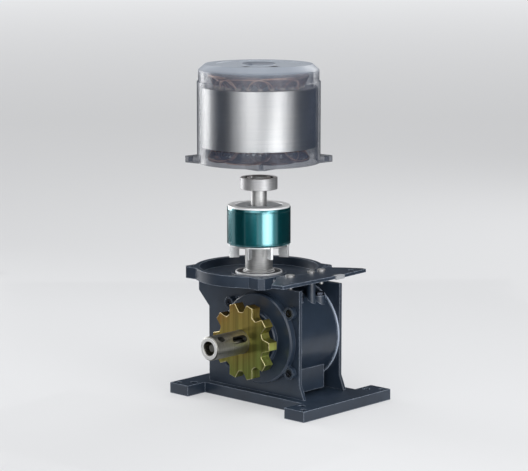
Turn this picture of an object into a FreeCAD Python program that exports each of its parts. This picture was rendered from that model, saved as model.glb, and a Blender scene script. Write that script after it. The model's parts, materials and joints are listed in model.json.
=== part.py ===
"""Worm gear drive with an upright motor: the motor cap stands lifted off its rotor."""
import FreeCAD, Part
import Sketcher
import math
import os

V = FreeCAD.Vector
doc = FreeCAD.newDocument("WormGearDrive")

# Driving dimensions in millimetres
DIMENSIONS = {
    # Base plate and its feet
    "base_length": 170.0,
    "base_depth": 121.0,
    "base_thickness": 10.0,
    "foot_width": 23.6,
    "foot_reach": 23.1,
    "foot_hole_radius": 3.4,
    "foot_hole_inset_x": 16.5,
    "foot_hole_inset_y": 15.5,
    "levelling_screw_radius": 2.5,
    "levelling_screw_inset": 6.0,
    # Upright walls
    "wall_left": -63.2,
    "wall_right": 51.5,
    "wall_gap": 52.2,
    "wall_thickness": 3.5,
    "wall_flare": 5.7,
    "wall_flare_rise": 14.0,
    "wall_neck_width": 13.6,
    "wall_neck_start": 82.2,
    "wall_neck_end": 96.0,
    # Motor axis, motor flange and its lower bearing
    "motor_x": -26.6,
    "flange_top": 121.2,
    "flange_thickness": 10.6,
    "flange_radius": 60.4,
    "recess_radius": 55.7,
    "recess_depth": 8.2,
    "ear_reach": 68.6,
    "ear_tip_width": 8.6,
    "ear_root_width": 34.0,
    "ear_hole_radius": 2.2,
    "ear_hole_place": 63.5,
    "seat_wall": 3.8,
    "seat_proud": 2.4,
    # Worm, wheel and the chamber around them
    "centre_distance": 32.0,
    "output_z": 62.0,
    "module_size": 1.5,
    "wheel_teeth": 30.0,
    "wheel_width": 14.0,
    "worm_length": 38.0,
    "worm_bore_gap": 1.0,
    "chamber_radius": 45.6,
    "chamber_wall": 4.6,
    "column_wall": 6.0,
    "chamber_bead": 1.3,
    "pedestal_right": 42.2,
    "pedestal_back": 15.0,
    "pedestal_low": 13.0,
    "pedestal_top": 34.7,
    "pedestal_left": -18.0,
    "pedestal_undercut": 10.0,
    "base_screw_inset": 12.0,
    "base_screw_head_radius": 3.8,
    "base_screw_head_height": 3.6,
    "base_screw_length": 13.0,
    "base_screw_sink": 4.2,
    "drain_hole_radius": 4.0,
    "filler_x": 34.7,
    "filler_y": 15.6,
    "filler_top": 99.2,
    "filler_boss_radius": 6.2,
    "filler_hole_radius": 4.0,
    "breather_x": 35.0,
    "breather_y": -8.4,
    "breather_top": 105.2,
    "breather_radius": 1.5,
    "screw_radius": 2.0,
    "screw_hole_radius": 2.1,
    # Front cover and output shaft
    "cover_radius": 42.3,
    "cover_thickness": 6.8,
    "cover_edge": 1.2,
    "spigot_radius": 36.0,
    "gasket_thickness": 0.6,
    "lug_radius": 5.6,
    "lug_place": 47.0,
    "lug_angle": 36.5,
    "lug_thickness": 5.0,
    "cover_hub_radius": 26.0,
    "cover_hub_rise": 4.0,
    "cover_screw_head_radius": 3.6,
    "cover_screw_head_height": 1.9,
    "cover_screw_sink": 2.2,
    "seal_radius": 17.5,
    "seal_lip_radius": 13.4,
    "seal_depth": 5.4,
    "plate_mark_left": 34.0,
    "plate_mark_rise": 32.4,
    "plate_mark_length": 6.0,
    "plate_mark_height": 1.6,
    "plate_mark_depth": 1.2,
    "shaft_radius": 11.0,
    "journal_radius": 11.3,
    "shaft_bore_radius": 6.3,
    "shaft_reach": 100.2,
    "shaft_slot_length": 18.2,
    "shaft_slot_width": 7.0,
    "shaft_slot_place": 69.4,
    "shaft_notch_place": 90.8,
    "shaft_notch_width": 6.4,
    "wheel_seat_radius": 14.0,
    "shaft_collar_radius": 17.0,
    "key_width": 6.0,
    "key_depth": 3.0,
    "rod_radius": 2.6,
    "rod_head_radius": 3.6,
    # Output pinion
    "pinion_teeth": 10.0,
    "pinion_tip_radius": 35.5,
    "pinion_root_radius": 27.6,
    "pinion_tip_width": 6.6,
    "pinion_root_width": 12.4,
    "pinion_face": 58.6,
    "pinion_width": 10.6,
    "pinion_chamfer": 0.7,
    # Rotor
    "rotor_radius": 29.8,
    "rotor_length": 34.9,
    "rotor_groove_depth": 0.5,
    "rotor_groove_width": 0.8,
    "rotor_groove_inset": 2.4,
    "end_ring_thickness": 1.5,
    "top_bearing_rise": 16.4,
    "end_ring_inner_radius": 22.5,
    "fin_length": 9.2,
    "fin_thickness": 2.5,
    "fin_drop": 12.0,
    "fin_radius": 29.6,
    "fin_plate_thickness": 1.6,
    "spacer_length": 26.2,
    "spacer_radius": 12.85,
    "spacer_foot_radius": 14.4,
    "spacer_foot_rise": 2.2,
    # Motor unit
    "motor_lift": 98.6,
    "skirt_radius": 57.5,
    "skirt_wall": 2.6,
    "skirt_drop": 16.2,
    "band_radius": 56.2,
    "band_drop": 5.4,
    "cap_radius": 50.0,
    "cap_roof": 6.8,
    "cap_thickness": 6.0,
    "ledge_radius": 50.6,
    "motor_ear_thickness": 5.5,
    "cap_hub_radius": 21.4,
    "cap_boss_radius": 15.0,
    "cap_boss_rise": 0.6,
    "cap_dish_radius": 40.0,
    "vent_place": 28.0,
    "vent_radius": 3.4,
    "stator_radius": 53.1,
    "stator_below_rotor": 7.2,
    "stator_above_rotor": 13.3,
    "air_gap": 0.5,
    "slot_count": 24.0,
    "slot_width": 4.6,
    "slot_depth": 11.0,
    "slot_mouth": 1.8,
    "tooth_lip": 1.5,
    "winding_reach": 13.0,
    "winding_outer_radius": 49.6,
    # Side plate on the right
    "side_plate_thickness": 3.0,
    "side_plate_right": 61.4,
    "side_plate_front": -63.9,
    "side_plate_back": 56.4,
    "side_plate_nose": 12.6,
    "side_plate_hole_radius": 2.4,
    "shelf_thickness": 4.0,
    "shelf_right": 40.5,
    "shelf_front": 28.0,
    "shelf_back": 24.0,
    "side_screw_radius": 2.0,
    "side_screw_inset": 5.8,
    "side_screw_front": -23.4,
    "side_screw_middle": 4.9,
    "side_screw_back": 19.0,
    "clip_front": 8.0,
    "clip_length": 11.0,
    "clip_width": 2.4,
    "clip_height": 3.6,
    # Fits
    "running_gap": 0.05,
    "fit_gap": 0.05,
}

# Bearings by their usual sizes: bore, outside diameter, width, ball diameter
BEARINGS = {
    "top_bearing": (15.0, 35.0, 11.0, 5.8),
    "lower_bearing": (22.0, 44.0, 12.0, 7.0),
    "foot_bearing": (12.0, 28.0, 8.0, 4.6),
    "front_bearing": (25.0, 42.0, 9.0, 5.0),
    "rear_bearing": (20.0, 37.0, 9.0, 5.0),
}
for bearing_name, bearing_sizes in BEARINGS.items():
    for word, size in zip(("bore", "outside", "width", "ball"), bearing_sizes):
        DIMENSIONS["%s_%s" % (bearing_name, word)] = size

sheet = doc.addObject("Spreadsheet::Sheet", "Sizes")
for row, (word, size) in enumerate(DIMENSIONS.items(), start=1):
    sheet.set("A%d" % row, word)
    sheet.set("B%d" % row, str(size))
    sheet.setAlias("B%d" % row, word)
doc.recompute()


class Size:
    """A length that keeps the spreadsheet formula it comes from."""

    def __init__(self, number, formula):
        self.number = float(number)
        self.formula = formula

    def __float__(self):
        return self.number

    def joined(self, other, sign, number):
        formula = other.formula if isinstance(other, Size) else repr(float(other))
        return Size(number, "(%s %s %s)" % (self.formula, sign, formula))

    def __add__(self, other):
        return self.joined(other, "+", self.number + float(other))

    def __radd__(self, other):
        return self + other

    def __sub__(self, other):
        return self.joined(other, "-", self.number - float(other))

    def __rsub__(self, other):
        return self * -1 + other

    def __mul__(self, other):
        return self.joined(other, "*", self.number * float(other))

    def __rmul__(self, other):
        return self * other

    def __truediv__(self, other):
        return self.joined(other, "/", self.number / float(other))

    def __neg__(self):
        return self * -1


class Sizes:
    """Every driving dimension by its name."""

    def __init__(self):
        for word in DIMENSIONS:
            setattr(self, word, Size(sheet.get(word), "Sizes." + word))


s = Sizes()
nodes = []


def bind(item, **links):
    """Tie properties of an object to the spreadsheet."""
    for prop, size in links.items():
        if isinstance(size, Size):
            item.setExpression(prop, size.formula)
        else:
            setattr(item, prop, size)


TURNS = {
    "z": FreeCAD.Rotation(),
    "y": FreeCAD.Rotation(V(1, 0, 0), -90),
}


def place(item, at=(0, 0, 0), axis="z", turn=0.0):
    """Put an object at a point, its own Z along the axis, turned about that axis first."""
    rotation = TURNS[axis].multiply(FreeCAD.Rotation(V(0, 0, 1), turn))
    item.Placement = FreeCAD.Placement(V(*[float(value) for value in at]), rotation)
    for letter, value in zip("xyz", at):
        if isinstance(value, Size):
            item.setExpression("Placement.Base.%s" % letter, value.formula)
    return item


def cylinder(radius, height, at=(0, 0, 0), axis="z"):
    item = doc.addObject("Part::Cylinder", "Round")
    bind(item, Radius=radius, Height=height)
    return place(item, at, axis)


def torus(ring_radius, tube_radius, at=(0, 0, 0), axis="z"):
    item = doc.addObject("Part::Torus", "Ring")
    bind(item, Radius1=ring_radius, Radius2=tube_radius)
    return place(item, at, axis)


def box(length, width, height, low=(0, 0, 0), axis="z", turn=0.0):
    item = doc.addObject("Part::Box", "Block")
    bind(item, Length=length, Width=width, Height=height)
    return place(item, low, axis, turn)


def joined(*items):
    item = doc.addObject("Part::MultiFuse", "Union")
    item.Shapes = list(items)
    item.Refine = True
    return item


def without(base, *tools):
    item = doc.addObject("Part::Cut", "Cut")
    item.Base = base
    item.Tool = tools[0] if len(tools) == 1 else joined(*tools)
    item.Refine = True
    return item


def group(*items):
    item = doc.addObject("Part::Compound", "Group")
    item.Links = list(items)
    return item


def node(name, item):
    """Name a finished piece of the drive."""
    item.Label = name
    nodes.append(item)
    return item


def outline_sketch(body, plane, outline):
    """A closed polygon whose corners are tied to the spreadsheet."""
    sketch = body.newObject("Sketcher::SketchObject", "Outline")
    flat = [item for item in body.Origin.OriginFeatures if item.Role == plane][0]
    sketch.AttachmentSupport = [(flat, "")]
    sketch.MapMode = "FlatFace"
    corners = [V(float(first), float(second), 0) for first, second in outline]
    count = len(corners)
    for index in range(count):
        sketch.addGeometry(Part.LineSegment(corners[index], corners[(index + 1) % count]))
    for index in range(count):
        sketch.addConstraint(Sketcher.Constraint("Coincident", index, 2, (index + 1) % count, 1))
    for index, pair in enumerate(outline):
        for kind, value in zip(("DistanceX", "DistanceY"), pair):
            number = sketch.addConstraint(Sketcher.Constraint(kind, -1, 1, index, 1, float(value)))
            if isinstance(value, Size):
                sketch.setExpression("Constraints[%d]" % number, value.formula)
    return sketch


def turned(outline, at=(0, 0, 0), axis="z"):
    """A body of revolution from (radius, height) corners."""
    body = doc.addObject("PartDesign::Body", "Turned")
    sketch = outline_sketch(body, "XZ_Plane", outline)
    doc.recompute()
    lathe = body.newObject("PartDesign::Revolution", "Lathe")
    lathe.Profile = sketch
    lathe.ReferenceAxis = (sketch, ["V_Axis"])
    lathe.Angle = 360
    return place(body, at, axis)


def flat_plate(outline, thickness, at=(0, 0, 0), axis="z"):
    """A plate from its outline, growing along the axis."""
    body = doc.addObject("PartDesign::Body", "Plate")
    sketch = outline_sketch(body, "XY_Plane", outline)
    doc.recompute()
    pad = body.newObject("PartDesign::Pad", "Pad")
    pad.Profile = sketch
    bind(pad, Length=thickness)
    return place(body, at, axis)


def ring(outer_radius, inner_radius, height, at=(0, 0, 0), axis="z"):
    outline = [(inner_radius, 0), (outer_radius, 0), (outer_radius, height), (inner_radius, height)]
    return turned(outline, at, axis)


def moved(at, axis, distance):
    """A point shifted along one axis."""
    return tuple(value + distance if letter == axis else value for letter, value in zip("xyz", at))


def polar(radius, degrees, at, axis="z"):
    """A point on a circle about an axis along Z or Y."""
    across = radius * math.cos(math.radians(degrees))
    up = radius * math.sin(math.radians(degrees))
    if axis == "z":
        return (at[0] + across, at[1] + up, at[2])
    return (at[0] + across, at[1], at[2] + up)


def hex_prism(across_flats, height, at, axis="z"):
    """A hexagon bar, for nuts, plug heads and sockets."""
    item = doc.addObject("Part::Prism", "Hexagon")
    item.Polygon = 6
    bind(item, Circumradius=across_flats / math.sqrt(3), Height=height)
    return place(item, at, axis)


def socket_screw(thread_radius, head_radius, head_height, length, at, axis="z", up=1):
    """A cap screw whose head stands on the point and whose shank runs back from it."""
    if up > 0:
        head = cylinder(head_radius, head_height, at, axis)
        socket = hex_prism(head_radius * 0.95, head_height * 0.6, moved(at, axis, head_height * 0.5), axis)
        shank = cylinder(thread_radius, length, moved(at, axis, -length), axis)
    else:
        head = cylinder(head_radius, head_height, moved(at, axis, -head_height), axis)
        socket = hex_prism(head_radius * 0.95, head_height * 0.6, moved(at, axis, head_height * -1.1), axis)
        shank = cylinder(thread_radius, length, at, axis)
    return without(joined(head, shank), socket)


# Counts and angles
FIN_COUNT = 8
EAR_TURNS = (45, 135, 225, 315)
PRESSURE_ANGLE = math.radians(20)

# Places worked out from the driving dimensions
motor_x = s.motor_x
output_x = s.motor_x + s.centre_distance
output_z = s.output_z
wall_inner = s.wall_gap / 2
wall_outer = wall_inner + s.wall_thickness
flange_under = s.flange_top - s.flange_thickness
recess_floor = s.flange_top - s.recess_depth
wheel_radius = s.module_size * s.wheel_teeth / 2
worm_radius = s.centre_distance - wheel_radius
worm_tip = worm_radius + s.module_size
worm_root = worm_radius - s.module_size * 1.25
worm_bore = worm_tip + s.worm_bore_gap
column_radius = worm_bore + s.column_wall
chamber_inner = s.chamber_radius - s.chamber_wall
motor_base = s.flange_top + s.motor_lift
bore_radius = {name: getattr(s, name + "_bore") / 2 for name in BEARINGS}
outside_radius = {name: getattr(s, name + "_outside") / 2 for name in BEARINGS}
bearing_width = {name: getattr(s, name + "_width") for name in BEARINGS}
rotor_shaft = bore_radius["top_bearing"]
lower_bearing_z = recess_floor + s.seat_proud + 1.4 - bearing_width["lower_bearing"]
hub_low = lower_bearing_z - 1
hub_radius = outside_radius["lower_bearing"] + s.fit_gap + s.seat_wall
foot_bearing_z = s.base_thickness + 4
rotor_bottom = lower_bearing_z + bearing_width["lower_bearing"] + s.spacer_length
rotor_top = rotor_bottom + s.rotor_length
top_bearing_z = rotor_top + s.top_bearing_rise
stator_low = rotor_bottom - s.stator_below_rotor + s.motor_lift
stator_high = rotor_top + s.stator_above_rotor + s.motor_lift
front_bearing_y = wall_outer * -1 - 4.4
rear_bearing_y = wall_inner - 6.2
chamber_low = (output_x, wall_inner * -1, output_z)
shelf_low = s.flange_top - s.side_plate_thickness - s.shelf_thickness


def base_plate():
    """H-shaped plate with four feet, bolt holes and tapped corners."""
    half_x = s.base_length / 2
    half_y = s.base_depth / 2
    inner_x = half_x - s.foot_width
    inner_y = half_y - s.foot_reach
    outline = [
        (-half_x, -half_y), (-inner_x, -half_y), (-inner_x, -inner_y), (inner_x, -inner_y),
        (inner_x, -half_y), (half_x, -half_y), (half_x, half_y), (inner_x, half_y),
        (inner_x, inner_y), (-inner_x, inner_y), (-inner_x, half_y), (-half_x, half_y),
    ]
    plate = flat_plate(outline, s.base_thickness)
    cuts = []
    for side in (-1, 1):
        for end in (-1, 1):
            hole = ((half_x - s.foot_hole_inset_x) * side, (half_y - s.foot_hole_inset_y) * end, -1)
            cuts.append(cylinder(s.foot_hole_radius, s.base_thickness + 2, hole))
            tap = ((half_x - s.levelling_screw_inset) * side, (half_y - s.levelling_screw_inset) * end, -1)
            cuts.append(cylinder(s.levelling_screw_radius, s.base_thickness + 2, tap))
    cuts.append(cylinder(outside_radius["foot_bearing"], s.base_thickness + 2, (motor_x, 0, -1)))
    for place_x, place_y in base_screw_places():
        cuts.append(cylinder(s.screw_hole_radius, s.base_thickness + 2, (place_x, place_y, -1)))
        cuts.append(cylinder(s.base_screw_sink, s.base_screw_sink + 0.2, (place_x, place_y, -0.2)))
    return node("base_plate", without(plate, *cuts))


def base_screw_places():
    """Where screws from below hold the chamber's pedestal."""
    near = s.pedestal_left + s.base_screw_inset
    far = s.pedestal_right - s.pedestal_undercut - s.base_screw_inset + 4
    return [(x, y) for x in (near, far) for y in (-12, 8)]


def base_screws():
    screws = []
    for place_x, place_y in base_screw_places():
        at = (place_x, place_y, s.base_screw_sink)
        screws.append(socket_screw(s.screw_radius, s.base_screw_head_radius, s.base_screw_head_height,
                                   s.base_screw_length, at, "z", -1))
    return node("base_screws", group(*screws))


def levelling_screws():
    """Socket set screws, one in each foot corner."""
    half_x = s.base_length / 2 - s.levelling_screw_inset
    half_y = s.base_depth / 2 - s.levelling_screw_inset
    radius = s.levelling_screw_radius - s.fit_gap
    screws = []
    for side in (-1, 1):
        for end in (-1, 1):
            low = (half_x * side, half_y * end, 0.4)
            high = (half_x * side, half_y * end, s.base_thickness - 2.4)
            body = cylinder(radius, s.base_thickness - 0.8, low)
            screws.append(without(body, hex_prism(2.5, 3.0, high)))
    return node("levelling_screws", group(*screws))


def wall_outline():
    """Upright wall seen from the front: flared foot at the right, wide neck at the left."""
    left = s.wall_left
    right = s.wall_right
    low = s.base_thickness
    neck = left - s.wall_neck_width
    return [
        (left, low), (right + s.wall_flare, low), (right, low + s.wall_flare_rise), (right, flange_under),
        (neck, flange_under), (neck, s.wall_neck_end), (left, s.wall_neck_start),
    ]


def upright_wall(low_y):
    """A wall of the casing, standing on the base plate, cut from a vertical plate."""
    body = doc.addObject("PartDesign::Body", "Wall")
    sketch = outline_sketch(body, "XZ_Plane", wall_outline())
    doc.recompute()
    pad = body.newObject("PartDesign::Pad", "Pad")
    pad.Profile = sketch
    bind(pad, Length=s.wall_thickness)
    pad.Reversed = True
    return place(body, (0, low_y, 0))


def front_plate():
    wall = upright_wall(wall_outer * -1)
    front_y = wall_outer * -1
    through = s.wall_thickness + 2
    cuts = [cylinder(s.spigot_radius + s.fit_gap, through, (output_x, front_y - 1, output_z), "y")]
    for place_x, place_z in lug_places():
        cuts.append(cylinder(s.screw_hole_radius, through, (place_x, front_y - 1, place_z), "y"))
    cuts.append(box(s.plate_mark_length, s.plate_mark_depth + 1, s.plate_mark_height,
                    (output_x - s.plate_mark_left, front_y - 1, output_z + s.plate_mark_rise)))
    return node("front_plate", without(wall, *cuts))


def rear_plate():
    wall = upright_wall(wall_inner)
    seat = outside_radius["rear_bearing"] + s.fit_gap
    boss = ring(outside_radius["rear_bearing"] + s.seat_wall, seat, s.rear_bearing_width + 1,
                (output_x, rear_bearing_y - 1, output_z), "y")
    depth = s.wall_thickness + s.rear_bearing_width
    bore = cylinder(seat, depth, (output_x, rear_bearing_y - 2, output_z), "y")
    return node("rear_plate", joined(without(wall, bore), boss))


def lug_angles():
    angle = float(s.lug_angle)
    return [angle, 180 - angle, 180 + angle, 360 - angle]


def lug_places():
    """Centres of the four screw lugs around the front cover."""
    places = []
    for degrees in lug_angles():
        across = s.lug_place * math.cos(math.radians(degrees))
        up = s.lug_place * math.sin(math.radians(degrees))
        places.append((output_x + across, output_z + up))
    return places


def gear_chamber():
    """Round chamber between the walls, with the worm's column and a pedestal."""
    drum = cylinder(s.chamber_radius, s.wall_gap, chamber_low, "y")
    column = cylinder(column_radius, hub_low - s.base_thickness, (motor_x, 0, s.base_thickness))
    pedestal_depth = wall_inner + s.pedestal_back
    pedestal = box(s.pedestal_right - s.pedestal_left, pedestal_depth, s.pedestal_top - s.pedestal_low,
                   (s.pedestal_left, wall_inner * -1, s.pedestal_low))
    foot = box(s.pedestal_right - s.pedestal_left - s.pedestal_undercut, pedestal_depth,
               s.pedestal_low - s.base_thickness + 1, (s.pedestal_left, wall_inner * -1, s.base_thickness))
    bead = torus(s.chamber_radius, s.chamber_bead, (output_x, wall_inner - s.chamber_bead, output_z), "y")
    reach = s.chamber_radius + 10
    rear_bead_cut = box(reach * 2, 10, reach * 2, (output_x - reach, wall_inner, output_z - reach))
    post_x, post_y = shelf_screw_places()[1]
    post = cylinder(4.2, shelf_low - output_z - 20, (post_x, post_y, output_z + 20))
    filler = cylinder(s.filler_boss_radius, 20, (s.filler_x, s.filler_y, s.filler_top - 20))
    solid = joined(drum, column, pedestal, foot, without(bead, rear_bead_cut), filler, post)
    inside = cylinder(chamber_inner, s.wall_gap + 2, moved(chamber_low, "y", -1), "y")
    worm_hole = cylinder(worm_bore, hub_low, (motor_x, 0, foot_bearing_z))
    foot_seat = cylinder(outside_radius["foot_bearing"] + s.fit_gap, foot_bearing_z + s.foot_bearing_width,
                         (motor_x, 0, 0))
    cuts = [inside, worm_hole, foot_seat]
    cuts.append(cylinder(hub_radius + s.fit_gap, 30, (motor_x, 0, hub_low)))
    cuts.append(cylinder(s.flange_radius + 0.4, 30, (motor_x, 0, flange_under)))
    for place_x, place_y in shelf_screw_places():
        cuts.append(cylinder(s.side_screw_radius + 0.1, 30, (place_x, place_y, flange_under - 6)))
    cuts.append(cylinder(s.filler_hole_radius, 30, (s.filler_x, s.filler_y, s.filler_top - 26)))
    cuts.append(cylinder(s.filler_boss_radius + 0.1, 12, (s.filler_x, s.filler_y, s.filler_top)))
    cuts.append(cylinder(s.breather_radius + 0.1, 30, (s.breather_x, s.breather_y, s.filler_top - 26)))
    cuts.append(cylinder(s.drain_hole_radius, 30, (output_x, -6, s.base_thickness + 1)))
    for place_x, place_y in base_screw_places():
        cuts.append(cylinder(s.screw_hole_radius, 9.5, (place_x, place_y, s.base_thickness - 1)))
    return node("gear_chamber", without(solid, *cuts))


def shelf_screw_places():
    """Screws through the side plate: the large one near the front, then two along the edge."""
    inset = s.shelf_right - s.side_screw_inset
    return [(inset - 0.3, s.side_screw_front), (inset, s.side_screw_middle), (inset, s.side_screw_back)]


def ear_outline(reach):
    """Tapered ear along +X, before it is turned to its corner."""
    inner = s.flange_radius - 8
    root = s.ear_root_width / 2
    tip = s.ear_tip_width / 2
    shoulder = reach - 1.2
    nose = tip * 0.7
    return [(inner, -root), (shoulder, -tip), (reach, -nose), (reach, nose), (shoulder, tip), (inner, root)]


def ears(reach, thickness, low_z):
    """Four ears on the diagonals."""
    items = []
    for turn in EAR_TURNS:
        ear = flat_plate(ear_outline(reach), thickness)
        items.append(place(ear, (motor_x, 0, low_z), "z", turn))
    return items


def ear_holes(low_z, depth):
    items = []
    for turn in EAR_TURNS:
        items.append(cylinder(s.ear_hole_radius, depth, polar(s.ear_hole_place, turn, (motor_x, 0, low_z))))
    return items


def motor_flange():
    """Dished flange that carries the motor, with the lower bearing's seat and a shelf."""
    seat = outside_radius["lower_bearing"] + s.fit_gap
    hub_top = recess_floor + s.seat_proud
    disc = cylinder(s.flange_radius, s.flange_thickness, (motor_x, 0, flange_under))
    recess = cylinder(s.recess_radius, s.recess_depth + 1, (motor_x, 0, recess_floor))
    dish = without(joined(disc, *ears(s.ear_reach, s.flange_thickness, flange_under)), recess)
    under_hub = cylinder(hub_radius, hub_top - hub_low, (motor_x, 0, hub_low))
    shelf = box(s.shelf_right - motor_x, s.shelf_front + s.shelf_back, s.shelf_thickness,
                (motor_x, s.shelf_front * -1, shelf_low))
    shelf_round = cylinder(s.flange_radius - 2, s.shelf_thickness + 2, (motor_x, 0, shelf_low - 1))
    solid = joined(dish, without(shelf, shelf_round), under_hub)
    cuts = [cylinder(seat, s.lower_bearing_width + 9, (motor_x, 0, lower_bearing_z))]
    cuts.append(cylinder(worm_bore + 4, 30, (motor_x, 0, lower_bearing_z - 20)))
    cuts += ear_holes(flange_under - 1, s.flange_thickness + 2)
    for place_x, place_y in shelf_screw_places():
        cuts.append(cylinder(s.side_screw_radius + 0.1, 30, (place_x, place_y, flange_under - 6)))
    return node("motor_flange", without(solid, *cuts))


def side_plate_outline():
    """The plate as seen from above."""
    right = s.side_plate_right
    front = s.side_plate_front
    back = s.side_plate_back
    nose = right - s.side_plate_nose
    hidden = motor_x + s.flange_radius
    return [
        (nose, front), (right - 0.2, front + 1.7), (right, back - 36.4), (right - 3.1, back - 0.9),
        (right - 8.4, back), (right - 22.6, back - 8.3), (hidden - 15.3, 32.9), (hidden - 15.8, 0),
        (hidden - 9.8, -30), (nose - 15.4, front + 22.6),
    ]


def side_plate():
    """Flat plate flush with the flange's top, cut round to fit the flange's rim."""
    low = s.flange_top - s.side_plate_thickness
    plate = flat_plate(side_plate_outline(), s.side_plate_thickness, (0, 0, low))
    cuts = [cylinder(s.flange_radius + s.fit_gap, s.side_plate_thickness + 2, (motor_x, 0, low - 1))]
    for turn in (45, 315):
        ear = flat_plate(ear_outline(s.ear_reach + 0.4), s.side_plate_thickness + 2)
        cuts.append(place(ear, (motor_x, 0, low - 1), "z", turn))
    for place_x, place_y in shelf_screw_places():
        cuts.append(cylinder(s.side_screw_radius + 0.1, 30, (place_x, place_y, low - 10)))
    hole = (s.side_plate_right - 9.9, s.side_plate_back - 14.5, low - 2)
    cuts.append(cylinder(s.side_plate_hole_radius, 10, hole))
    for inset in (6.4, 2.9):
        cuts.append(cylinder(0.8, 10, (s.side_plate_right - inset, s.side_plate_front + 20.3, low - 2)))
    return node("side_plate", without(plate, *cuts))


def side_plate_screws():
    screws = []
    for (place_x, place_y), head in zip(shelf_screw_places(), (4.2, 3.4, 3.8)):
        screws.append(socket_screw(s.side_screw_radius, head, 1.8, 12.0, (place_x, place_y, s.flange_top)))
    return node("side_plate_screws", group(*screws))


def edge_clip():
    """Bright clip pushed over the side plate's outer edge."""
    low = s.flange_top - s.side_plate_thickness
    width = s.clip_width + 3
    clip = box(width, s.clip_length, s.clip_height, (s.side_plate_right - 3.2, s.clip_front, low - 0.3))
    slot = box(width, s.clip_length + 2, s.side_plate_thickness + s.fit_gap,
               (s.side_plate_right - width + s.fit_gap, s.clip_front - 1, low))
    return node("edge_clip", without(clip, slot))


def front_cover():
    """Round cover with four lugs, a bearing seat and a seal pocket."""
    back_y = wall_outer * -1 - s.gasket_thickness
    front_y = back_y - s.cover_thickness
    spigot_end = wall_inner * -1 - 3
    seat = outside_radius["front_bearing"] + s.fit_gap
    seal = s.seal_radius + s.fit_gap
    rise = s.cover_hub_rise
    depth = spigot_end - front_y
    face = s.cover_thickness
    edge = s.cover_edge
    outline = [
        (seal, -rise), (s.cover_hub_radius - 1, -rise), (s.cover_hub_radius, -rise + 1),
        (s.cover_hub_radius, 0),
        (s.cover_radius - edge, 0), (s.cover_radius, edge), (s.cover_radius, face), (s.spigot_radius, face),
        (s.spigot_radius, depth), (seat, depth), (seat, 2.4), (13.0, 2.4), (13.0, 1.6), (seal, 1.6),
    ]
    disc = turned(outline, (output_x, front_y, output_z), "y")
    lugs = []
    holes = []
    for degrees, (place_x, place_z) in zip(lug_angles(), lug_places()):
        low = (place_x, back_y - s.lug_thickness, place_z)
        lugs.append(cylinder(s.lug_radius, s.lug_thickness, low, "y"))
        lugs.append(lug_neck(degrees, back_y - s.lug_thickness))
        holes.append(cylinder(s.screw_hole_radius, 20, moved(low, "y", -5), "y"))
        holes.append(cylinder(3.9, 12, moved(low, "y", -9.8), "y"))
    bore = cylinder(seat + 0.5, 20, (output_x, front_y + 4, output_z), "y")
    solid = joined(disc, *[without(lug, bore) for lug in lugs])
    return node("front_cover", without(solid, *holes))


def lug_neck(degrees, low_y):
    """Straight web between a lug and the cover's rim."""
    start = s.cover_radius - 6
    web = box(s.lug_place - start, s.lug_thickness, s.lug_radius * 1.7)
    along = math.cos(math.radians(degrees))
    up = math.sin(math.radians(degrees))
    half = s.lug_radius * 0.85
    low_x = output_x + start * along + half * up
    low_z = output_z + start * up - half * along
    corner = V(float(low_x), float(low_y), float(low_z))
    web.Placement = FreeCAD.Placement(corner, FreeCAD.Rotation(V(0, 1, 0), -degrees))
    for letter, value in zip("xyz", (low_x, low_y, low_z)):
        web.setExpression("Placement.Base.%s" % letter, value.formula)
    return web


def cover_screws():
    """Four cap screws sunk into the cover's lugs."""
    screws = []
    web = s.lug_thickness - s.cover_screw_sink
    head_y = wall_outer * -1 - s.gasket_thickness - web
    length = web + s.gasket_thickness + s.wall_thickness - 0.3
    for place_x, place_z in lug_places():
        screws.append(socket_screw(s.screw_radius, s.cover_screw_head_radius, s.cover_screw_head_height,
                                   length, (place_x, head_y, place_z), "y", -1))
    return node("cover_screws", group(*screws))


def cover_gasket():
    low = (output_x, wall_outer * -1 - s.gasket_thickness, output_z)
    gasket = ring(s.cover_radius - 0.4, s.spigot_radius + 0.2, s.gasket_thickness, low, "y")
    return node("cover_gasket", gasket)


def output_seal():
    """Lip seal around the output shaft."""
    front_y = wall_outer * -1 - s.gasket_thickness - s.cover_thickness
    outline = [
        (s.journal_radius + s.running_gap, 1.2), (s.seal_lip_radius, 0), (s.seal_radius, 0),
        (s.seal_radius, s.seal_depth), (s.seal_lip_radius - 0.8, s.seal_depth),
        (s.journal_radius + s.running_gap, 2.2),
    ]
    return node("output_seal", turned(outline, (output_x, front_y - s.cover_hub_rise + 0.2, output_z), "y"))


def rear_cap():
    """Plug behind the rear bearing."""
    radius = outside_radius["rear_bearing"]
    outline = [(0, 0), (radius, 0), (radius, 4.4), (radius - 4, 4.4), (radius - 5, 3.2), (0, 3.2)]
    return node("rear_cap", turned(outline, (output_x, rear_bearing_y + s.rear_bearing_width, output_z), "y"))


def foot_plug():
    """Plug under the worm's foot bearing."""
    radius = outside_radius["foot_bearing"] - s.fit_gap
    dish = radius - 3.4
    rim = radius - 4
    top = foot_bearing_z - 0.2
    outline = [
        (0, 3.2), (dish, 3.2), (dish, 1.0), (radius, 1.0), (radius, top), (rim, top), (rim, 9.0), (0, 9.0),
    ]
    return node("foot_plug", turned(outline, (motor_x, 0, 0)))


def plugs():
    """Oil filler and breather tube on top of the chamber."""
    at = (s.filler_x, s.filler_y, s.filler_top)
    stem = cylinder(s.filler_hole_radius - 0.1, 12, moved(at, "z", -12))
    node("oil_fill_plug", joined(hex_prism(9.0, 3.0, at), cylinder(5.4, 1.2, at), stem))
    top = (s.breather_x, s.breather_y, s.breather_top)
    tube = cylinder(s.breather_radius, 18, moved(top, "z", -18))
    cap = cylinder(2.2, 2.4, moved(top, "z", -3))
    collar = cylinder(2.4, 1.6, moved(top, "z", -6.3))
    node("oil_breather", joined(tube, cap, collar))


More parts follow.
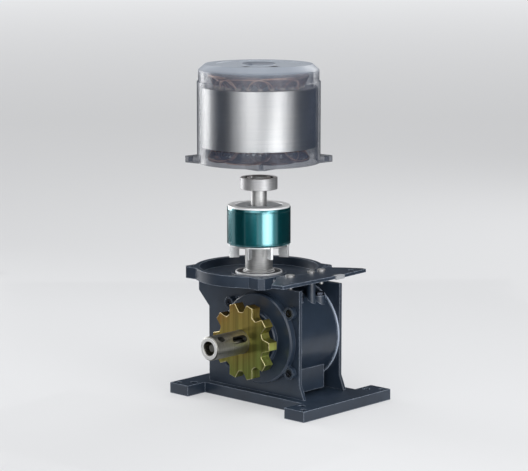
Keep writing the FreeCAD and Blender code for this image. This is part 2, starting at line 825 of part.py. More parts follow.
def bearing_ring_pair(name, at, axis):
    """Outer and inner ring with a ball groove in each, and the balls between them."""
    pitch = (bore_radius[name] + outside_radius[name]) / 2
    width = bearing_width[name]
    ball = getattr(s, name + "_ball") / 2
    middle = moved(at, axis, width / 2)
    land = ball * 0.42
    groove = torus(pitch, ball + s.running_gap, middle, axis)
    outer = without(ring(outside_radius[name], pitch + land, width, at, axis), groove)
    groove = torus(pitch, ball + s.running_gap, middle, axis)
    inner = without(ring(pitch - land, bore_radius[name], width, at, axis), groove)
    node(name + "_outer_ring", outer)
    node(name + "_inner_ring", inner)
    count = int(math.floor(math.pi * float(pitch) / (float(ball) * 1.3)))
    balls = []
    for index in range(count):
        item = doc.addObject("Part::Sphere", "Ball")
        bind(item, Radius=ball)
        balls.append(place(item, polar(pitch, 360.0 * index / count, middle, axis)))
    node(name + "_balls", group(*balls))
    return pitch, land


def bearing_shield(name, pitch, land, at, axis, label):
    """Thin shields or seals that close both faces of a bearing."""
    width = bearing_width[name]
    thin = 0.6
    items = []
    for low in (moved(at, axis, 0.3), moved(at, axis, width - 0.3 - thin)):
        items.append(ring(pitch + land - s.fit_gap, pitch - land + 0.12, thin, low, axis))
    node(label, group(*items))


def worm_shaft():
    """Worm, bearing seats and rotor shaft in one turned piece, thread cut as a helix."""
    low = foot_bearing_z - 1
    worm_low = output_z - s.worm_length / 2
    worm_high = output_z + s.worm_length / 2
    seat = bore_radius["lower_bearing"]
    shaft = rotor_shaft
    top = top_bearing_z + s.top_bearing_width + 1.4
    foot = bore_radius["foot_bearing"]
    outline = [
        (0, low), (foot - 0.6, low), (foot, low + 0.6), (foot, foot_bearing_z + s.foot_bearing_width),
        (worm_root, foot_bearing_z + s.foot_bearing_width), (worm_root, worm_high + 3),
        (seat, worm_high + 6), (seat, lower_bearing_z + s.lower_bearing_width),
        (shaft, lower_bearing_z + s.lower_bearing_width), (shaft, top - 1), (shaft - 1, top), (0, top),
    ]
    core = turned(outline, (motor_x, 0, 0))
    thread = doc.addObject("Part::Feature", "Thread")
    thread.Shape = worm_thread(float(worm_low), float(worm_high))
    place(thread, (motor_x, 0, 0))
    return node("worm_shaft", joined(core, thread))


def worm_thread(low, high):
    """One right-hand thread whose crest faces the wheel at the height of the output axis."""
    pitch = math.pi * float(s.module_size)
    root = float(worm_root) - 0.3
    tip = float(worm_tip)
    middle = float(worm_radius)
    slope = math.tan(PRESSURE_ANGLE)
    half = pitch * 0.2
    turns = 2 * math.floor((high - low) / pitch / 2)
    start = float(output_z) - pitch * turns / 2
    corners = []
    for radius, side in ((root, -1), (tip, -1), (tip, 1), (root, 1)):
        reach = half + (middle - radius) * slope
        corners.append(V(radius, 0, start + side * reach))
    profile = Part.Wire(Part.makePolygon(corners + corners[:1]))
    helix = Part.makeHelix(pitch, pitch * turns, middle)
    helix.translate(V(0, 0, start))
    return Part.Wire(helix.Edges).makePipeShell([profile], True, True)


def involute_outline(teeth, module_size, backlash, tip_cut):
    """Corner points of one gear outline with a gap centred on -X."""
    pitch_radius = teeth * module_size / 2
    base_radius = pitch_radius * math.cos(PRESSURE_ANGLE)
    tip_radius = pitch_radius + module_size - tip_cut
    root_radius = pitch_radius - module_size * 1.3
    half_tooth = math.pi / 2 / teeth - backlash / pitch_radius
    offset = half_tooth + math.tan(PRESSURE_ANGLE) - PRESSURE_ANGLE
    flank = []
    start_radius = max(base_radius, root_radius)
    for step in range(4):
        radius = start_radius + (tip_radius - start_radius) * step / 3
        roll = math.sqrt(max(radius * radius / base_radius / base_radius - 1, 0))
        flank.append((radius, offset - (roll - math.atan(roll))))
    points = []
    for tooth in range(int(teeth)):
        middle = math.pi + math.pi / teeth + 2 * math.pi * tooth / teeth
        points.append((root_radius, middle - flank[0][1] - 0.01))
        points += [(radius, middle - angle) for radius, angle in flank]
        points += [(radius, middle + angle) for radius, angle in reversed(flank)]
        points.append((root_radius, middle + flank[0][1] + 0.01))
    return points


def worm_wheel():
    """Helical wheel whose teeth lean with the worm's thread."""
    lean = math.atan(float(s.module_size) / 2 / float(worm_radius))
    half = float(s.wheel_width) / 2
    points = involute_outline(float(s.wheel_teeth), float(s.module_size), float(s.module_size) * 0.16, 0.1)
    wires = []
    for side in (-1, 0, 1):
        twist = side * half * math.tan(lean) / float(wheel_radius)
        corners = []
        for radius, angle in points:
            corners.append(V(radius * math.cos(angle - twist), side * half, radius * math.sin(angle - twist)))
        wires.append(Part.Wire(Part.makePolygon(corners + corners[:1])))
    blank = doc.addObject("Part::Feature", "Teeth")
    blank.Shape = Part.makeLoft(wires, True, True)
    place(blank, (output_x, 0, output_z))
    low_y = s.wheel_width * -0.5 - 4
    through = s.wheel_width + 8
    bore = cylinder(s.wheel_seat_radius, through, (output_x, low_y, output_z), "y")
    keyway = box(s.key_width, through, s.key_depth + 1,
                 (output_x - s.key_width / 2, low_y, output_z + s.wheel_seat_radius - 0.9))
    dishes = []
    for low in (s.wheel_width * -0.5 - 1, s.wheel_width / 2 - 1.5):
        dishes.append(ring(wheel_radius - 4, s.wheel_seat_radius + 4, 2.5, (output_x, low, output_z), "y"))
    return node("worm_wheel", without(blank, bore, keyway, *dishes))


def output_shaft():
    """Hollow output shaft with seats for both bearings and the wheel."""
    reach = s.shaft_reach
    bearing_front = front_bearing_y
    bearing_front_end = front_bearing_y + s.front_bearing_width
    wheel_front = s.wheel_width * -0.5
    wheel_back = s.wheel_width / 2
    rear = rear_bearing_y
    end = rear_bearing_y + s.rear_bearing_width
    seat = bore_radius["front_bearing"]
    rear_seat = bore_radius["rear_bearing"]
    bore = s.shaft_bore_radius
    radius = s.shaft_radius

    def at(distance):
        return reach + distance

    outline = [
        (bore + 0.8, 0), (radius - 1.2, 0), (radius, 1.2), (radius, at(s.pinion_face * -1)),
        (s.journal_radius, at(s.pinion_face * -1)), (s.journal_radius, at(bearing_front)),
        (seat, at(bearing_front)), (seat, at(bearing_front_end)),
        (s.wheel_seat_radius - 0.2, at(bearing_front_end)),
        (s.wheel_seat_radius - 0.2, at(wheel_front) - 1.4),
        (s.wheel_seat_radius, at(wheel_front) - 1.4), (s.wheel_seat_radius, at(wheel_back)),
        (s.shaft_collar_radius, at(wheel_back)), (s.shaft_collar_radius, at(rear) - 3),
        (rear_seat + 2, at(rear) - 3), (rear_seat + 2, at(rear)), (rear_seat, at(rear)),
        (rear_seat, at(end) - 0.6),
        (0, at(end) - 0.6), (0, at(wheel_back)), (bore, at(wheel_front)), (bore, 0.8),
    ]
    body = turned(outline, (output_x, reach * -1, output_z), "y")
    cuts = [obround_cut(s.shaft_slot_length, s.shaft_slot_width, s.shaft_slot_place * -1, 30.0)]
    cuts.append(obround_cut(s.shaft_notch_width + 1.2, s.shaft_notch_width, s.shaft_notch_place * -1, 52.0))
    cuts.append(key_block(wheel_front + 2, s.wheel_width - 4, s.wheel_seat_radius, 0.05))
    cuts.append(key_block(s.pinion_face * -1, s.pinion_width, s.journal_radius, 0.05))
    return node("output_shaft", without(body, *cuts))


def obround_cut(length, width, middle_y, degrees):
    """A slot with round ends along the shaft, through one wall, at an angle above +X."""
    half = (length - width) / 2
    ends = []
    for side in (-1, 1):
        item = cylinder(width / 2, s.shaft_radius + 4)
        ends.append(item)
        end_y = middle_y + half * side
        item.Placement = FreeCAD.Placement(V(0, float(end_y), 0), FreeCAD.Rotation(V(0, 1, 0), 90))
        item.setExpression("Placement.Base.y", end_y.formula)
    middle = box(s.shaft_radius + 4, half * 2, width, (0, middle_y - half, width * -0.5))
    slot = joined(middle, *ends)
    centre = V(float(output_x), 0, float(output_z))
    slot.Placement = FreeCAD.Placement(centre, FreeCAD.Rotation(V(0, 1, 0), -degrees))
    slot.setExpression("Placement.Base.x", output_x.formula)
    slot.setExpression("Placement.Base.z", output_z.formula)
    return slot


def key_block(low_y, length, seat_radius, clearance):
    """Space of a parallel key on top of the shaft."""
    width = s.key_width + clearance * 2
    low_z = output_z + seat_radius - s.key_depth + 0.4
    height = s.key_depth * 2 - 0.6 + clearance * 2
    return box(width, length, height, (output_x - width / 2, low_y, low_z - clearance))


def keys():
    half = s.key_width / 2
    height = s.key_depth * 2 - 0.6
    low_z = output_z - s.key_depth + 0.4
    wheel_low = (output_x - half, s.wheel_width * -0.5 + 2, low_z + s.wheel_seat_radius)
    node("wheel_key", box(s.key_width, s.wheel_width - 4, height, wheel_low))
    pinion_low = (output_x - half, s.pinion_face * -1 + 0.5, low_z + s.journal_radius)
    node("pinion_key", box(s.key_width, s.pinion_width - 1, height, pinion_low))


def wheel_circlip():
    """Retaining ring in front of the wheel."""
    low = (output_x, s.wheel_width * -0.5 - 1.35, output_z)
    clip = ring(s.wheel_seat_radius + 2.6, s.wheel_seat_radius, 1.3, low, "y")
    gap = box(6, 4, 10, (output_x - 3, s.wheel_width * -0.5 - 3, output_z - s.wheel_seat_radius - 8))
    return node("wheel_circlip", without(clip, gap))


def face_edges(shape, heights, beyond):
    """Names of the edges that lie in a flat face at one of the heights, outside a radius."""
    names = []
    for index, edge in enumerate(shape.Edges, start=1):
        corners = [vertex.Point for vertex in edge.Vertexes]
        for height in heights:
            flat = all(abs(point.z - height) < 1e-6 for point in corners)
            if flat and all(math.hypot(point.x, point.y) > beyond for point in corners):
                names.append("Edge%d" % index)
    return names


def output_pinion():
    """Ten-tooth pinion on the output shaft."""
    body = doc.addObject("PartDesign::Body", "Pinion")
    blank = body.newObject("Sketcher::SketchObject", "Blank")
    flat = [item for item in body.Origin.OriginFeatures if item.Role == "XY_Plane"][0]
    blank.AttachmentSupport = [(flat, "")]
    blank.MapMode = "FlatFace"
    for radius in (s.pinion_root_radius, s.journal_radius):
        index = blank.addGeometry(Part.Circle(V(0, 0, 0), V(0, 0, 1), float(radius)))
        blank.addConstraint(Sketcher.Constraint("Coincident", index, 3, -1, 1))
        number = blank.addConstraint(Sketcher.Constraint("Radius", index, float(radius)))
        blank.setExpression("Constraints[%d]" % number, radius.formula)
    doc.recompute()
    disc = body.newObject("PartDesign::Pad", "Disc")
    disc.Profile = blank
    bind(disc, Length=s.pinion_width)
    doc.recompute()
    root = s.pinion_root_width / 2
    tip = s.pinion_tip_width / 2
    inner = s.pinion_root_radius - 2
    outer = s.pinion_tip_radius
    flank_low = s.pinion_root_radius + 0.6
    flank_high = outer - 1.0
    half_tooth = [
        (inner, root * 1.04), (flank_low, root * 0.96), (flank_high, tip * 1.14), (outer, tip * 0.86),
    ]
    outline = [(radius, half * -1) for radius, half in half_tooth] + half_tooth[::-1]
    tooth_sketch = outline_sketch(body, "XY_Plane", outline)
    doc.recompute()
    tooth = body.newObject("PartDesign::Pad", "Tooth")
    tooth.Profile = tooth_sketch
    bind(tooth, Length=s.pinion_width)
    doc.recompute()
    pattern = body.newObject("PartDesign::PolarPattern", "Teeth")
    pattern.Originals = [tooth]
    pattern.Axis = (blank, ["N_Axis"])
    pattern.Angle = 360
    bind(pattern, Occurrences=s.pinion_teeth)
    body.Tip = pattern
    doc.recompute()
    chamfer = body.newObject("PartDesign::Chamfer", "Edges")
    rims = face_edges(pattern.Shape, (0.0, float(s.pinion_width)), float(s.journal_radius) + 1)
    chamfer.Base = (pattern, rims)
    bind(chamfer, Size=s.pinion_chamfer)
    body.Tip = chamfer
    doc.recompute()
    place(body, (output_x, s.pinion_face * -1, output_z), "y")
    keyway = key_block(s.pinion_face * -1 - 1, s.pinion_width + 2, s.journal_radius, 0.05)
    return node("output_pinion", without(body, keyway))


def release_rod():
    """Small rod in the shaft's bore, with a round head near the open end."""
    low = s.shaft_reach * -1 + 4.0
    head = cylinder(s.rod_head_radius, 3.0, (output_x, low, output_z), "y")
    rod = cylinder(s.rod_radius, s.shaft_reach - 4.0 - 10.0, (output_x, low, output_z), "y")
    guide = cylinder(s.shaft_bore_radius - s.running_gap, 8.0, (output_x, -44.0, output_z), "y")
    return node("release_rod", joined(head, rod, guide))


def rotor_core():
    """Laminated rotor with a groove near each end."""
    low = rotor_bottom
    high = rotor_top
    radius = s.rotor_radius
    deep = radius - s.rotor_groove_depth
    shaft = rotor_shaft
    near = s.rotor_groove_inset
    wide = s.rotor_groove_width
    outline = [
        (shaft, low), (radius, low), (radius, low + near), (deep, low + near), (deep, low + near + wide),
        (radius, low + near + wide), (radius, high - near - wide), (deep, high - near - wide),
        (deep, high - near), (radius, high - near), (radius, high), (shaft, high),
    ]
    return node("rotor_core", turned(outline, (motor_x, 0, 0)))


def rotor_end_rings():
    """Cast end rings: a stepped one on top, a finned one below."""
    thick = s.end_ring_thickness
    outer = s.rotor_radius - 0.7
    inner = s.end_ring_inner_radius
    hub = rotor_shaft + 1.6
    outline = [
        (hub, 0), (outer, 0), (outer, thick - 0.5), (outer - 0.5, thick), (inner, thick), (inner, 0.6),
        (hub + 4, 0.6), (hub + 4, 1.0), (hub, 1.0),
    ]
    node("rotor_top_ring", turned(outline, (motor_x, 0, rotor_top)))
    plate_low = rotor_bottom - s.fin_plate_thickness
    plate = ring(s.rotor_radius - 0.8, 15.5, s.fin_plate_thickness, (motor_x, 0, plate_low))
    fins = []
    start = s.fin_radius - s.fin_length
    half = s.fin_thickness / 2
    for index in range(FIN_COUNT):
        angle = 360.0 * (index + 0.5) / FIN_COUNT
        across = math.cos(math.radians(angle))
        up = math.sin(math.radians(angle))
        low = (motor_x + start * across + half * up, start * up - half * across, rotor_bottom - s.fin_drop)
        fins.append(box(s.fin_length, s.fin_thickness, s.fin_drop, low, "z", angle))
    node("rotor_fin_ring", joined(plate, *fins))


def shaft_spacer():
    """Sleeve between the lower bearing and the rotor, flared at its foot."""
    low = lower_bearing_z + s.lower_bearing_width
    height = s.spacer_length
    shaft = rotor_shaft
    outline = [
        (shaft, 0), (s.spacer_foot_radius, 0), (s.spacer_foot_radius, s.spacer_foot_rise - 0.8),
        (s.spacer_radius, s.spacer_foot_rise), (s.spacer_radius, height), (shaft, height),
    ]
    return node("shaft_spacer", turned(outline, (motor_x, 0, low)))


def motor_shell():
    """Deep cap of the motor: skirt, band, chamfered top and the top bearing's seat."""
    seat = outside_radius["top_bearing"] + s.running_gap
    seat_top = top_bearing_z + s.top_bearing_width + s.motor_lift + 0.5 - motor_base
    seat_low = top_bearing_z + s.motor_lift + 0.2 - motor_base
    inner = s.skirt_radius - s.skirt_wall
    cap_top = seat_top + s.cap_roof
    boss_top = cap_top + s.cap_boss_rise
    dish_top = cap_top - 0.8
    skirt_top = cap_top - s.skirt_drop
    band_top = cap_top - s.band_drop
    under_cap = cap_top - s.cap_thickness
    relief_radius = rotor_shaft + 1.5
    relief_top = seat_top + 1.6
    step = stator_high - motor_base
    outline = [
        (inner, 0), (s.skirt_radius, 0), (s.skirt_radius, skirt_top), (s.band_radius, skirt_top + 0.8),
        (s.band_radius, band_top), (s.cap_radius, cap_top), (s.cap_dish_radius, cap_top),
        (s.cap_dish_radius - 1, dish_top), (s.cap_boss_radius + 1, dish_top), (s.cap_boss_radius, boss_top),
        (0, boss_top), (0, relief_top), (relief_radius, relief_top), (relief_radius, seat_top),
        (seat, seat_top), (seat, seat_low), (s.cap_hub_radius, seat_low), (s.cap_hub_radius, under_cap),
        (s.ledge_radius, under_cap), (s.ledge_radius, step), (inner, step),
    ]
    shell = turned(outline, (motor_x, 0, motor_base))
    cuts = ear_holes(motor_base - 1, s.motor_ear_thickness + 2)
    for degrees, radius in ((-16, s.vent_radius), (-72, s.vent_radius * 0.6), (150, s.vent_radius * 0.6)):
        low = polar(s.vent_place, degrees, (motor_x, 0, motor_base + under_cap - 1))
        cuts.append(cylinder(radius, s.cap_thickness + 3, low))
    corner_ears = []
    for ear in ears(s.ear_reach, s.motor_ear_thickness, motor_base):
        corner_ears.append(without(ear, cylinder(inner + 1, 20, (motor_x, 0, motor_base - 5))))
    return node("motor_shell", without(joined(shell, *corner_ears), *cuts))


def slot_angles():
    count = int(float(s.slot_count))
    return [360.0 * index / count for index in range(count)]


def stator_bars(width, inner, outer, low_z, high_z):
    """Radial bars on every slot angle, as plain shapes."""
    bars = []
    for angle in slot_angles():
        bar = Part.makeBox(outer - inner, width, high_z - low_z, V(inner, -width / 2, low_z))
        bar.rotate(V(0, 0, 0), V(0, 0, 1), angle)
        bars.append(bar)
    return bars


def stator():
    """Slotted core, and the winding as slot coils between an upper and a lower ring of end turns."""
    low = float(stator_low)
    high = float(stator_high)
    bore = float(s.rotor_radius + s.air_gap)
    slot_low = bore + float(s.tooth_lip)
    slot_high = slot_low + float(s.slot_depth)
    core = Part.makeCylinder(float(s.stator_radius), high - low, V(0, 0, low))
    core = core.cut(Part.makeCylinder(bore, high - low, V(0, 0, low)))
    slots = stator_bars(float(s.slot_width), slot_low, slot_high, low - 1, high + 1)
    mouths = stator_bars(float(s.slot_mouth), bore - 1, slot_low + 1, low - 1, high + 1)
    core = core.cut(slots + mouths)
    item = doc.addObject("Part::Feature", "Core")
    item.Shape = core.removeSplitter()
    place(item, (motor_x, 0, 0))
    node("stator_core", item)
    gap = float(s.fit_gap)
    reach = float(s.winding_reach)
    head_inner = slot_low + 0.6
    head_outer = float(s.winding_outer_radius)
    coils = stator_bars(float(s.slot_width) - 2 * gap, slot_low + gap, slot_high - gap, low, high)
    upper = Part.makeCone(head_outer, head_outer - 3, reach, V(0, 0, high))
    lower = Part.makeCone(head_outer - 3, head_outer, reach, V(0, 0, low - reach))
    shapes = {
        "winding_upper_turns": upper.cut(Part.makeCylinder(head_inner, reach, V(0, 0, high))),
        "winding_lower_turns": lower.cut(Part.makeCylinder(head_inner, reach, V(0, 0, low - reach))),
        "winding_slot_coils": Part.makeCompound(coils),
    }
    for name, shape in shapes.items():
        item = doc.addObject("Part::Feature", name)
        item.Shape = shape
        place(item, (motor_x, 0, 0))
        node(name, item)


def build():
    base_plate()
    base_screws()
    levelling_screws()
    front_plate()
    rear_plate()
    gear_chamber()
    motor_flange()
    side_plate()
    side_plate_screws()
    edge_clip()
    front_cover()
    cover_gasket()
    cover_screws()
    output_seal()
    rear_cap()
    foot_plug()
    plugs()
    pitch, land = bearing_ring_pair("lower_bearing", (motor_x, 0, lower_bearing_z), "z")
    bearing_shield("lower_bearing", pitch, land, (motor_x, 0, lower_bearing_z), "z", "lower_bearing_seals")
    bearing_ring_pair("foot_bearing", (motor_x, 0, foot_bearing_z), "z")
    pitch, land = bearing_ring_pair("top_bearing", (motor_x, 0, top_bearing_z), "z")
    bearing_shield("top_bearing", pitch, land, (motor_x, 0, top_bearing_z), "z", "top_bearing_shields")
    bearing_ring_pair("front_bearing", (output_x, front_bearing_y, output_z), "y")
    bearing_ring_pair("rear_bearing", (output_x, rear_bearing_y, output_z), "y")
    worm_shaft()
    worm_wheel()
    output_shaft()
    keys()
    wheel_circlip()
    output_pinion()
    release_rod()
    rotor_core()
    rotor_end_rings()
    shaft_spacer()
    motor_shell()
    stator()


def check_and_write():
    """Stop on any failed object, then write one file for each piece."""
    doc.recompute()
    for item in doc.Objects:
        if "Invalid" in item.State or "Error" in item.State:
            raise RuntimeError("%s failed: %s" % (item.Label, item.State))
    for item in nodes:
        if item.Shape.isNull() or not item.Shape.isValid() or not item.Shape.Solids:
            raise RuntimeError("%s has no valid solid" % item.Label)
    os.makedirs("parts", exist_ok=True)
    for item in nodes:
        item.Shape.exportStep("parts/%s.step" % item.Label)
        box_of = item.Shape.BoundBox
        print("%-26s %2d solids  %10.1f mm3  x %7.1f %7.1f  y %7.1f %7.1f  z %7.1f %7.1f" % (
            item.Label, len(item.Shape.Solids), item.Shape.Volume, box_of.XMin, box_of.XMax,
            box_of.YMin, box_of.YMax, box_of.ZMin, box_of.ZMax))


build()
check_and_write()
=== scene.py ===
"""Looks of the worm gear drive: finishes, detailed pieces, a pale studio and the camera."""
import json
import math
import random

import bmesh
import bpy
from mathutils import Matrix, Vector

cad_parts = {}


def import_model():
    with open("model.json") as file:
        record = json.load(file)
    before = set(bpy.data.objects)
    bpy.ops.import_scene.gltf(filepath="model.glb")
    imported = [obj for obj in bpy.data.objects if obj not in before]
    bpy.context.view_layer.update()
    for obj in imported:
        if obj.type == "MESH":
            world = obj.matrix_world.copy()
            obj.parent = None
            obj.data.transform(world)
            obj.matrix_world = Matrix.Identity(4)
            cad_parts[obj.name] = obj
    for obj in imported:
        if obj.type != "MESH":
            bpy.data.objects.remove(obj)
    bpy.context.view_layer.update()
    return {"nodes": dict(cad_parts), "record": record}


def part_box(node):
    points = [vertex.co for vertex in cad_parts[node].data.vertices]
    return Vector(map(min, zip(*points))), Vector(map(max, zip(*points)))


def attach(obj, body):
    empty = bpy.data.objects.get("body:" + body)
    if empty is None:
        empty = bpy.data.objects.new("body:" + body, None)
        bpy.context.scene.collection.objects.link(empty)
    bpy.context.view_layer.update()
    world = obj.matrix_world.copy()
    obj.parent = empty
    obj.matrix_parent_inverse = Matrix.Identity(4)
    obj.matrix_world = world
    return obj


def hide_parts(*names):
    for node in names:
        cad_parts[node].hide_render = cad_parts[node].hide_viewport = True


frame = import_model()
nodes = frame["nodes"]
MM = 0.001
TURN = 2.0 * math.pi
random.seed(41)

# Axes of the drive, in metres
MOTOR_X = -26.6 * MM
OUTPUT_X = 5.4 * MM
OUTPUT_Z = 62.0 * MM
MOTOR_AXIS = (MOTOR_X, 0.0, 0.0)
OUTPUT_AXIS = (OUTPUT_X, 0.0, OUTPUT_Z)

# Outside of the gear chamber's drum, whose bead beside the rear wall gets a painted highlight
DRUM_RADIUS = 45.6 * MM

# Vents in the roof of the motor shell: their distance from its axis, then the angle and radius of
# each. The boss in the middle of the roof has the radius BOSS.
VENT_PLACE = 28.0 * MM
BOSS = 15.0 * MM
VENTS = ((-16.0, 3.4 * MM), (-72.0, 2.04 * MM), (150.0, 2.04 * MM))

# One sheet of the stator core, and the inside of the raised rim on top of the rotor
LAMINATION = 0.5 * MM
RIM_RADIUS = 22.5 * MM

# Turning marks: how fine they are, and how little they change along a turn
RING_SCALE = 2600.0
RING_DRIFT = 0.0006

# Edges that turn by less than this are shaded smooth
CREASE = math.radians(32.0)


# Node materials

def linear(red, green, blue):
    """Screen colour from 0 to 255 as the linear colour that a shader takes."""
    def one(value):
        value /= 255.0
        return value / 12.92 if value <= 0.04045 else ((value + 0.055) / 1.055) ** 2.4
    return (one(red), one(green), one(blue), 1.0)


class Graph:
    """The shader nodes of a material or of the world."""

    def __init__(self, tree):
        self.tree = tree

    def add(self, kind, **values):
        item = self.tree.nodes.new(kind)
        for key, value in values.items():
            setattr(item, key, value)
        return item

    def link(self, value, socket):
        """Feed a socket from another one, or set it to a number or colour."""
        if isinstance(value, bpy.types.NodeSocket):
            self.tree.links.new(value, socket)
        else:
            socket.default_value = value

    def span(self, value, low, high, to_low=0.0, to_high=1.0):
        """Value mapped from low..high to to_low..to_high, and held at both ends."""
        item = self.add("ShaderNodeMapRange")
        sockets = ("Value", "From Min", "From Max", "To Min", "To Max")
        for socket, number in zip(sockets, (value, low, high, to_low, to_high)):
            self.link(number, item.inputs[socket])
        return item.outputs["Result"]

    def math(self, kind, first, second=0.0):
        item = self.add("ShaderNodeMath", operation=kind)
        self.link(first, item.inputs[0])
        self.link(second, item.inputs[1])
        return item.outputs[0]

    def seen(self, share):
        """Share for camera, glossy and transmitted rays, and 0 for the others."""
        path = self.add("ShaderNodeLightPath")
        total = path.outputs["Is Camera Ray"]
        for name in ("Is Glossy Ray", "Is Transmission Ray"):
            total = self.math("MAXIMUM", total, path.outputs[name])
        return self.math("MULTIPLY", total, share)


class Finish(Graph):
    """A procedural material, built from named shader nodes."""

    def __init__(self, name):
        self.material = bpy.data.materials.new(name)
        self.material.use_nodes = True
        super().__init__(self.material.node_tree)
        self.shader = self.tree.nodes["Principled BSDF"]
        self.place = self.add("ShaderNodeTexCoord").outputs["Object"]

    def set(self, **values):
        names = {
            "color": "Base Color", "metallic": "Metallic", "roughness": "Roughness", "normal": "Normal",
            "alpha": "Alpha", "ior": "IOR", "specular": "Specular IOR Level", "coat": "Coat Weight",
            "coat_roughness": "Coat Roughness", "coat_ior": "Coat IOR",
        }
        for key, value in values.items():
            self.link(value, self.shader.inputs[names[key]])
        return self

    def noise(self, scale, detail=3.0, rough=0.55, stretch=(1, 1, 1), at=None):
        mapping = self.add("ShaderNodeMapping")
        self.link(self.place if at is None else at, mapping.inputs["Vector"])
        mapping.inputs["Scale"].default_value = stretch
        item = self.add("ShaderNodeTexNoise")
        item.inputs["Scale"].default_value = scale
        item.inputs["Detail"].default_value = detail
        item.inputs["Roughness"].default_value = rough
        self.tree.links.new(mapping.outputs["Vector"], item.inputs["Vector"])
        return item.outputs["Fac"]

    def mix(self, factor, first, second):
        item = self.add("ShaderNodeMix", data_type="RGBA")
        self.link(factor, item.inputs[0])
        self.link(first, item.inputs[6])
        self.link(second, item.inputs[7])
        return item.outputs[2]

    def vary(self, noise, low=0.0, high=1.0):
        """A number from low to high, over the middle of a noise's range."""
        return self.span(noise, 0.3, 0.7, low, high)

    def shades(self, noise, dark, light):
        """A colour from dark to light, over the middle of a noise's range."""
        return self.mix(self.vary(noise), dark, light)

    def split(self, vector):
        item = self.add("ShaderNodeSeparateXYZ")
        self.link(vector, item.inputs[0])
        return item.outputs

    def bump(self, height, strength, distance=0.0001, normal=None):
        item = self.add("ShaderNodeBump")
        item.inputs["Strength"].default_value = strength
        item.inputs["Distance"].default_value = distance
        self.link(height, item.inputs["Height"])
        if normal is not None:
            self.link(normal, item.inputs["Normal"])
        return item.outputs["Normal"]

    def around(self, centre, axis="z"):
        """Angle and radius about an axis of the drive, as two sockets."""
        shift = self.add("ShaderNodeVectorMath", operation="SUBTRACT")
        self.link(self.place, shift.inputs[0])
        shift.inputs[1].default_value = centre
        x, y, z = self.split(shift.outputs[0])
        up = y if axis == "z" else z
        angle = self.math("ARCTAN2", up, x)
        square = self.math("ADD", self.math("MULTIPLY", x, x), self.math("MULTIPLY", up, up))
        return angle, self.math("SQRT", square)

    def rings(self, centre, axis="z"):
        """Fine turning marks: noise over the radius and the height that hardly changes round them."""
        angle, radius = self.around(centre, axis)
        along = self.split(self.place)[2 if axis == "z" else 1]
        join = self.add("ShaderNodeCombineXYZ")
        self.link(radius, join.inputs[0])
        self.link(along, join.inputs[1])
        self.link(self.math("MULTIPLY", angle, RING_DRIFT), join.inputs[2])
        return self.noise(RING_SCALE, 4.0, 0.6, at=join.outputs[0])

    def edges(self, radius):
        """1 along the edges of the shape, 0 on its flats."""
        bevel = self.add("ShaderNodeBevel", samples=4)
        bevel.inputs["Radius"].default_value = radius
        true = self.add("ShaderNodeNewGeometry").outputs["Normal"]
        dot = self.add("ShaderNodeVectorMath", operation="DOT_PRODUCT")
        self.link(bevel.outputs[0], dot.inputs[0])
        self.link(true, dot.inputs[1])
        return self.span(dot.outputs["Value"], 0.99, 0.82)


def casing_paint(name, wear, bead=0.0):
    """Dark slate stove paint over a casting: soft orange peel, a little dust, and a painted highlight along
    the edges.

    Wear is how bright the painted edge highlight is, bead how bright the drum bead's painted highlight is.
    """
    f = Finish(name)
    broad = f.noise(26.0, 3.0)
    speck = f.noise(1500.0, 2.0, 0.7)
    color = f.mix(f.span(broad, 0.3, 0.72), linear(30, 40, 53), linear(41, 53, 68))
    color = f.mix(f.span(speck, 0.6, 0.8, 0.0, 0.2), color, linear(82, 92, 104))
    # Painted highlight: the edges are lightened through a bevel mask
    edge = f.edges(0.0009)
    edge = f.math("MULTIPLY", edge, f.span(f.noise(240.0, 4.0), 0.36, 0.62, 0.5 * wear, wear))
    highlight_colour = linear(176, 188, 206)
    color = f.mix(edge, color, highlight_colour)
    # Painted highlight on the drum's bead beside the rear wall
    if bead:
        radius = f.around(OUTPUT_AXIS, "y")[1]
        along = f.split(f.place)[1]
        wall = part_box("gear_chamber")[1].y
        raised = f.span(radius, DRUM_RADIUS + 0.5 * MM, DRUM_RADIUS + 0.9 * MM)
        back = f.span(along, wall - 3.2 * MM, wall - 2.9 * MM)
        inside = f.span(radius, DRUM_RADIUS + 1.8 * MM, DRUM_RADIUS + 1.5 * MM)
        ring = f.math("MULTIPLY", f.math("MULTIPLY", raised, back), inside)
        color = f.mix(f.math("MULTIPLY", ring, bead), color, highlight_colour)
    rough = f.span(f.noise(90.0, 4.0), 0.25, 0.75, 0.3, 0.4)
    peel = f.bump(f.noise(620.0, 2.0, 0.5), 0.16, 0.0003)
    grain = f.bump(speck, 0.05, normal=peel)
    return f.set(color=color, roughness=rough, normal=grain, specular=0.42, coat=0.15, coat_roughness=0.2)


def turned_metal(name, centre, axis, base, light, low_rough, high_rough, metallic=1.0, top=None):
    """Lathe-turned metal: fine rings round its axis and faint stains.

    Top is a paler colour for the faces that look up, a painted highlight, where one is given.
    """
    f = Finish(name)
    ring = f.rings(centre, axis)
    stain = f.noise(55.0, 4.0, 0.6)
    color = f.shades(ring, base, light)
    dull = tuple(0.72 * value for value in base[:3]) + (1.0,)
    color = f.mix(f.span(stain, 0.5, 0.78, 0.0, 0.3), color, dull)
    wear = f.math("ADD", f.math("MULTIPLY", ring, 0.7), f.math("MULTIPLY", stain, 0.3))
    rough = f.vary(wear, low_rough, high_rough)
    # Painted highlight: faces that look up are mixed towards the paler top colour
    if top:
        lit_top_mask = f.split(f.add("ShaderNodeNewGeometry").outputs["Normal"])[2]
        lit_top_mask = f.span(lit_top_mask, 0.7, 0.9)
        color = f.mix(lit_top_mask, color, top)
        metallic = f.span(lit_top_mask, 0.0, 1.0, metallic, 0.15)
    return f.set(color=color, metallic=metallic, roughness=rough, normal=f.bump(ring, 0.12))


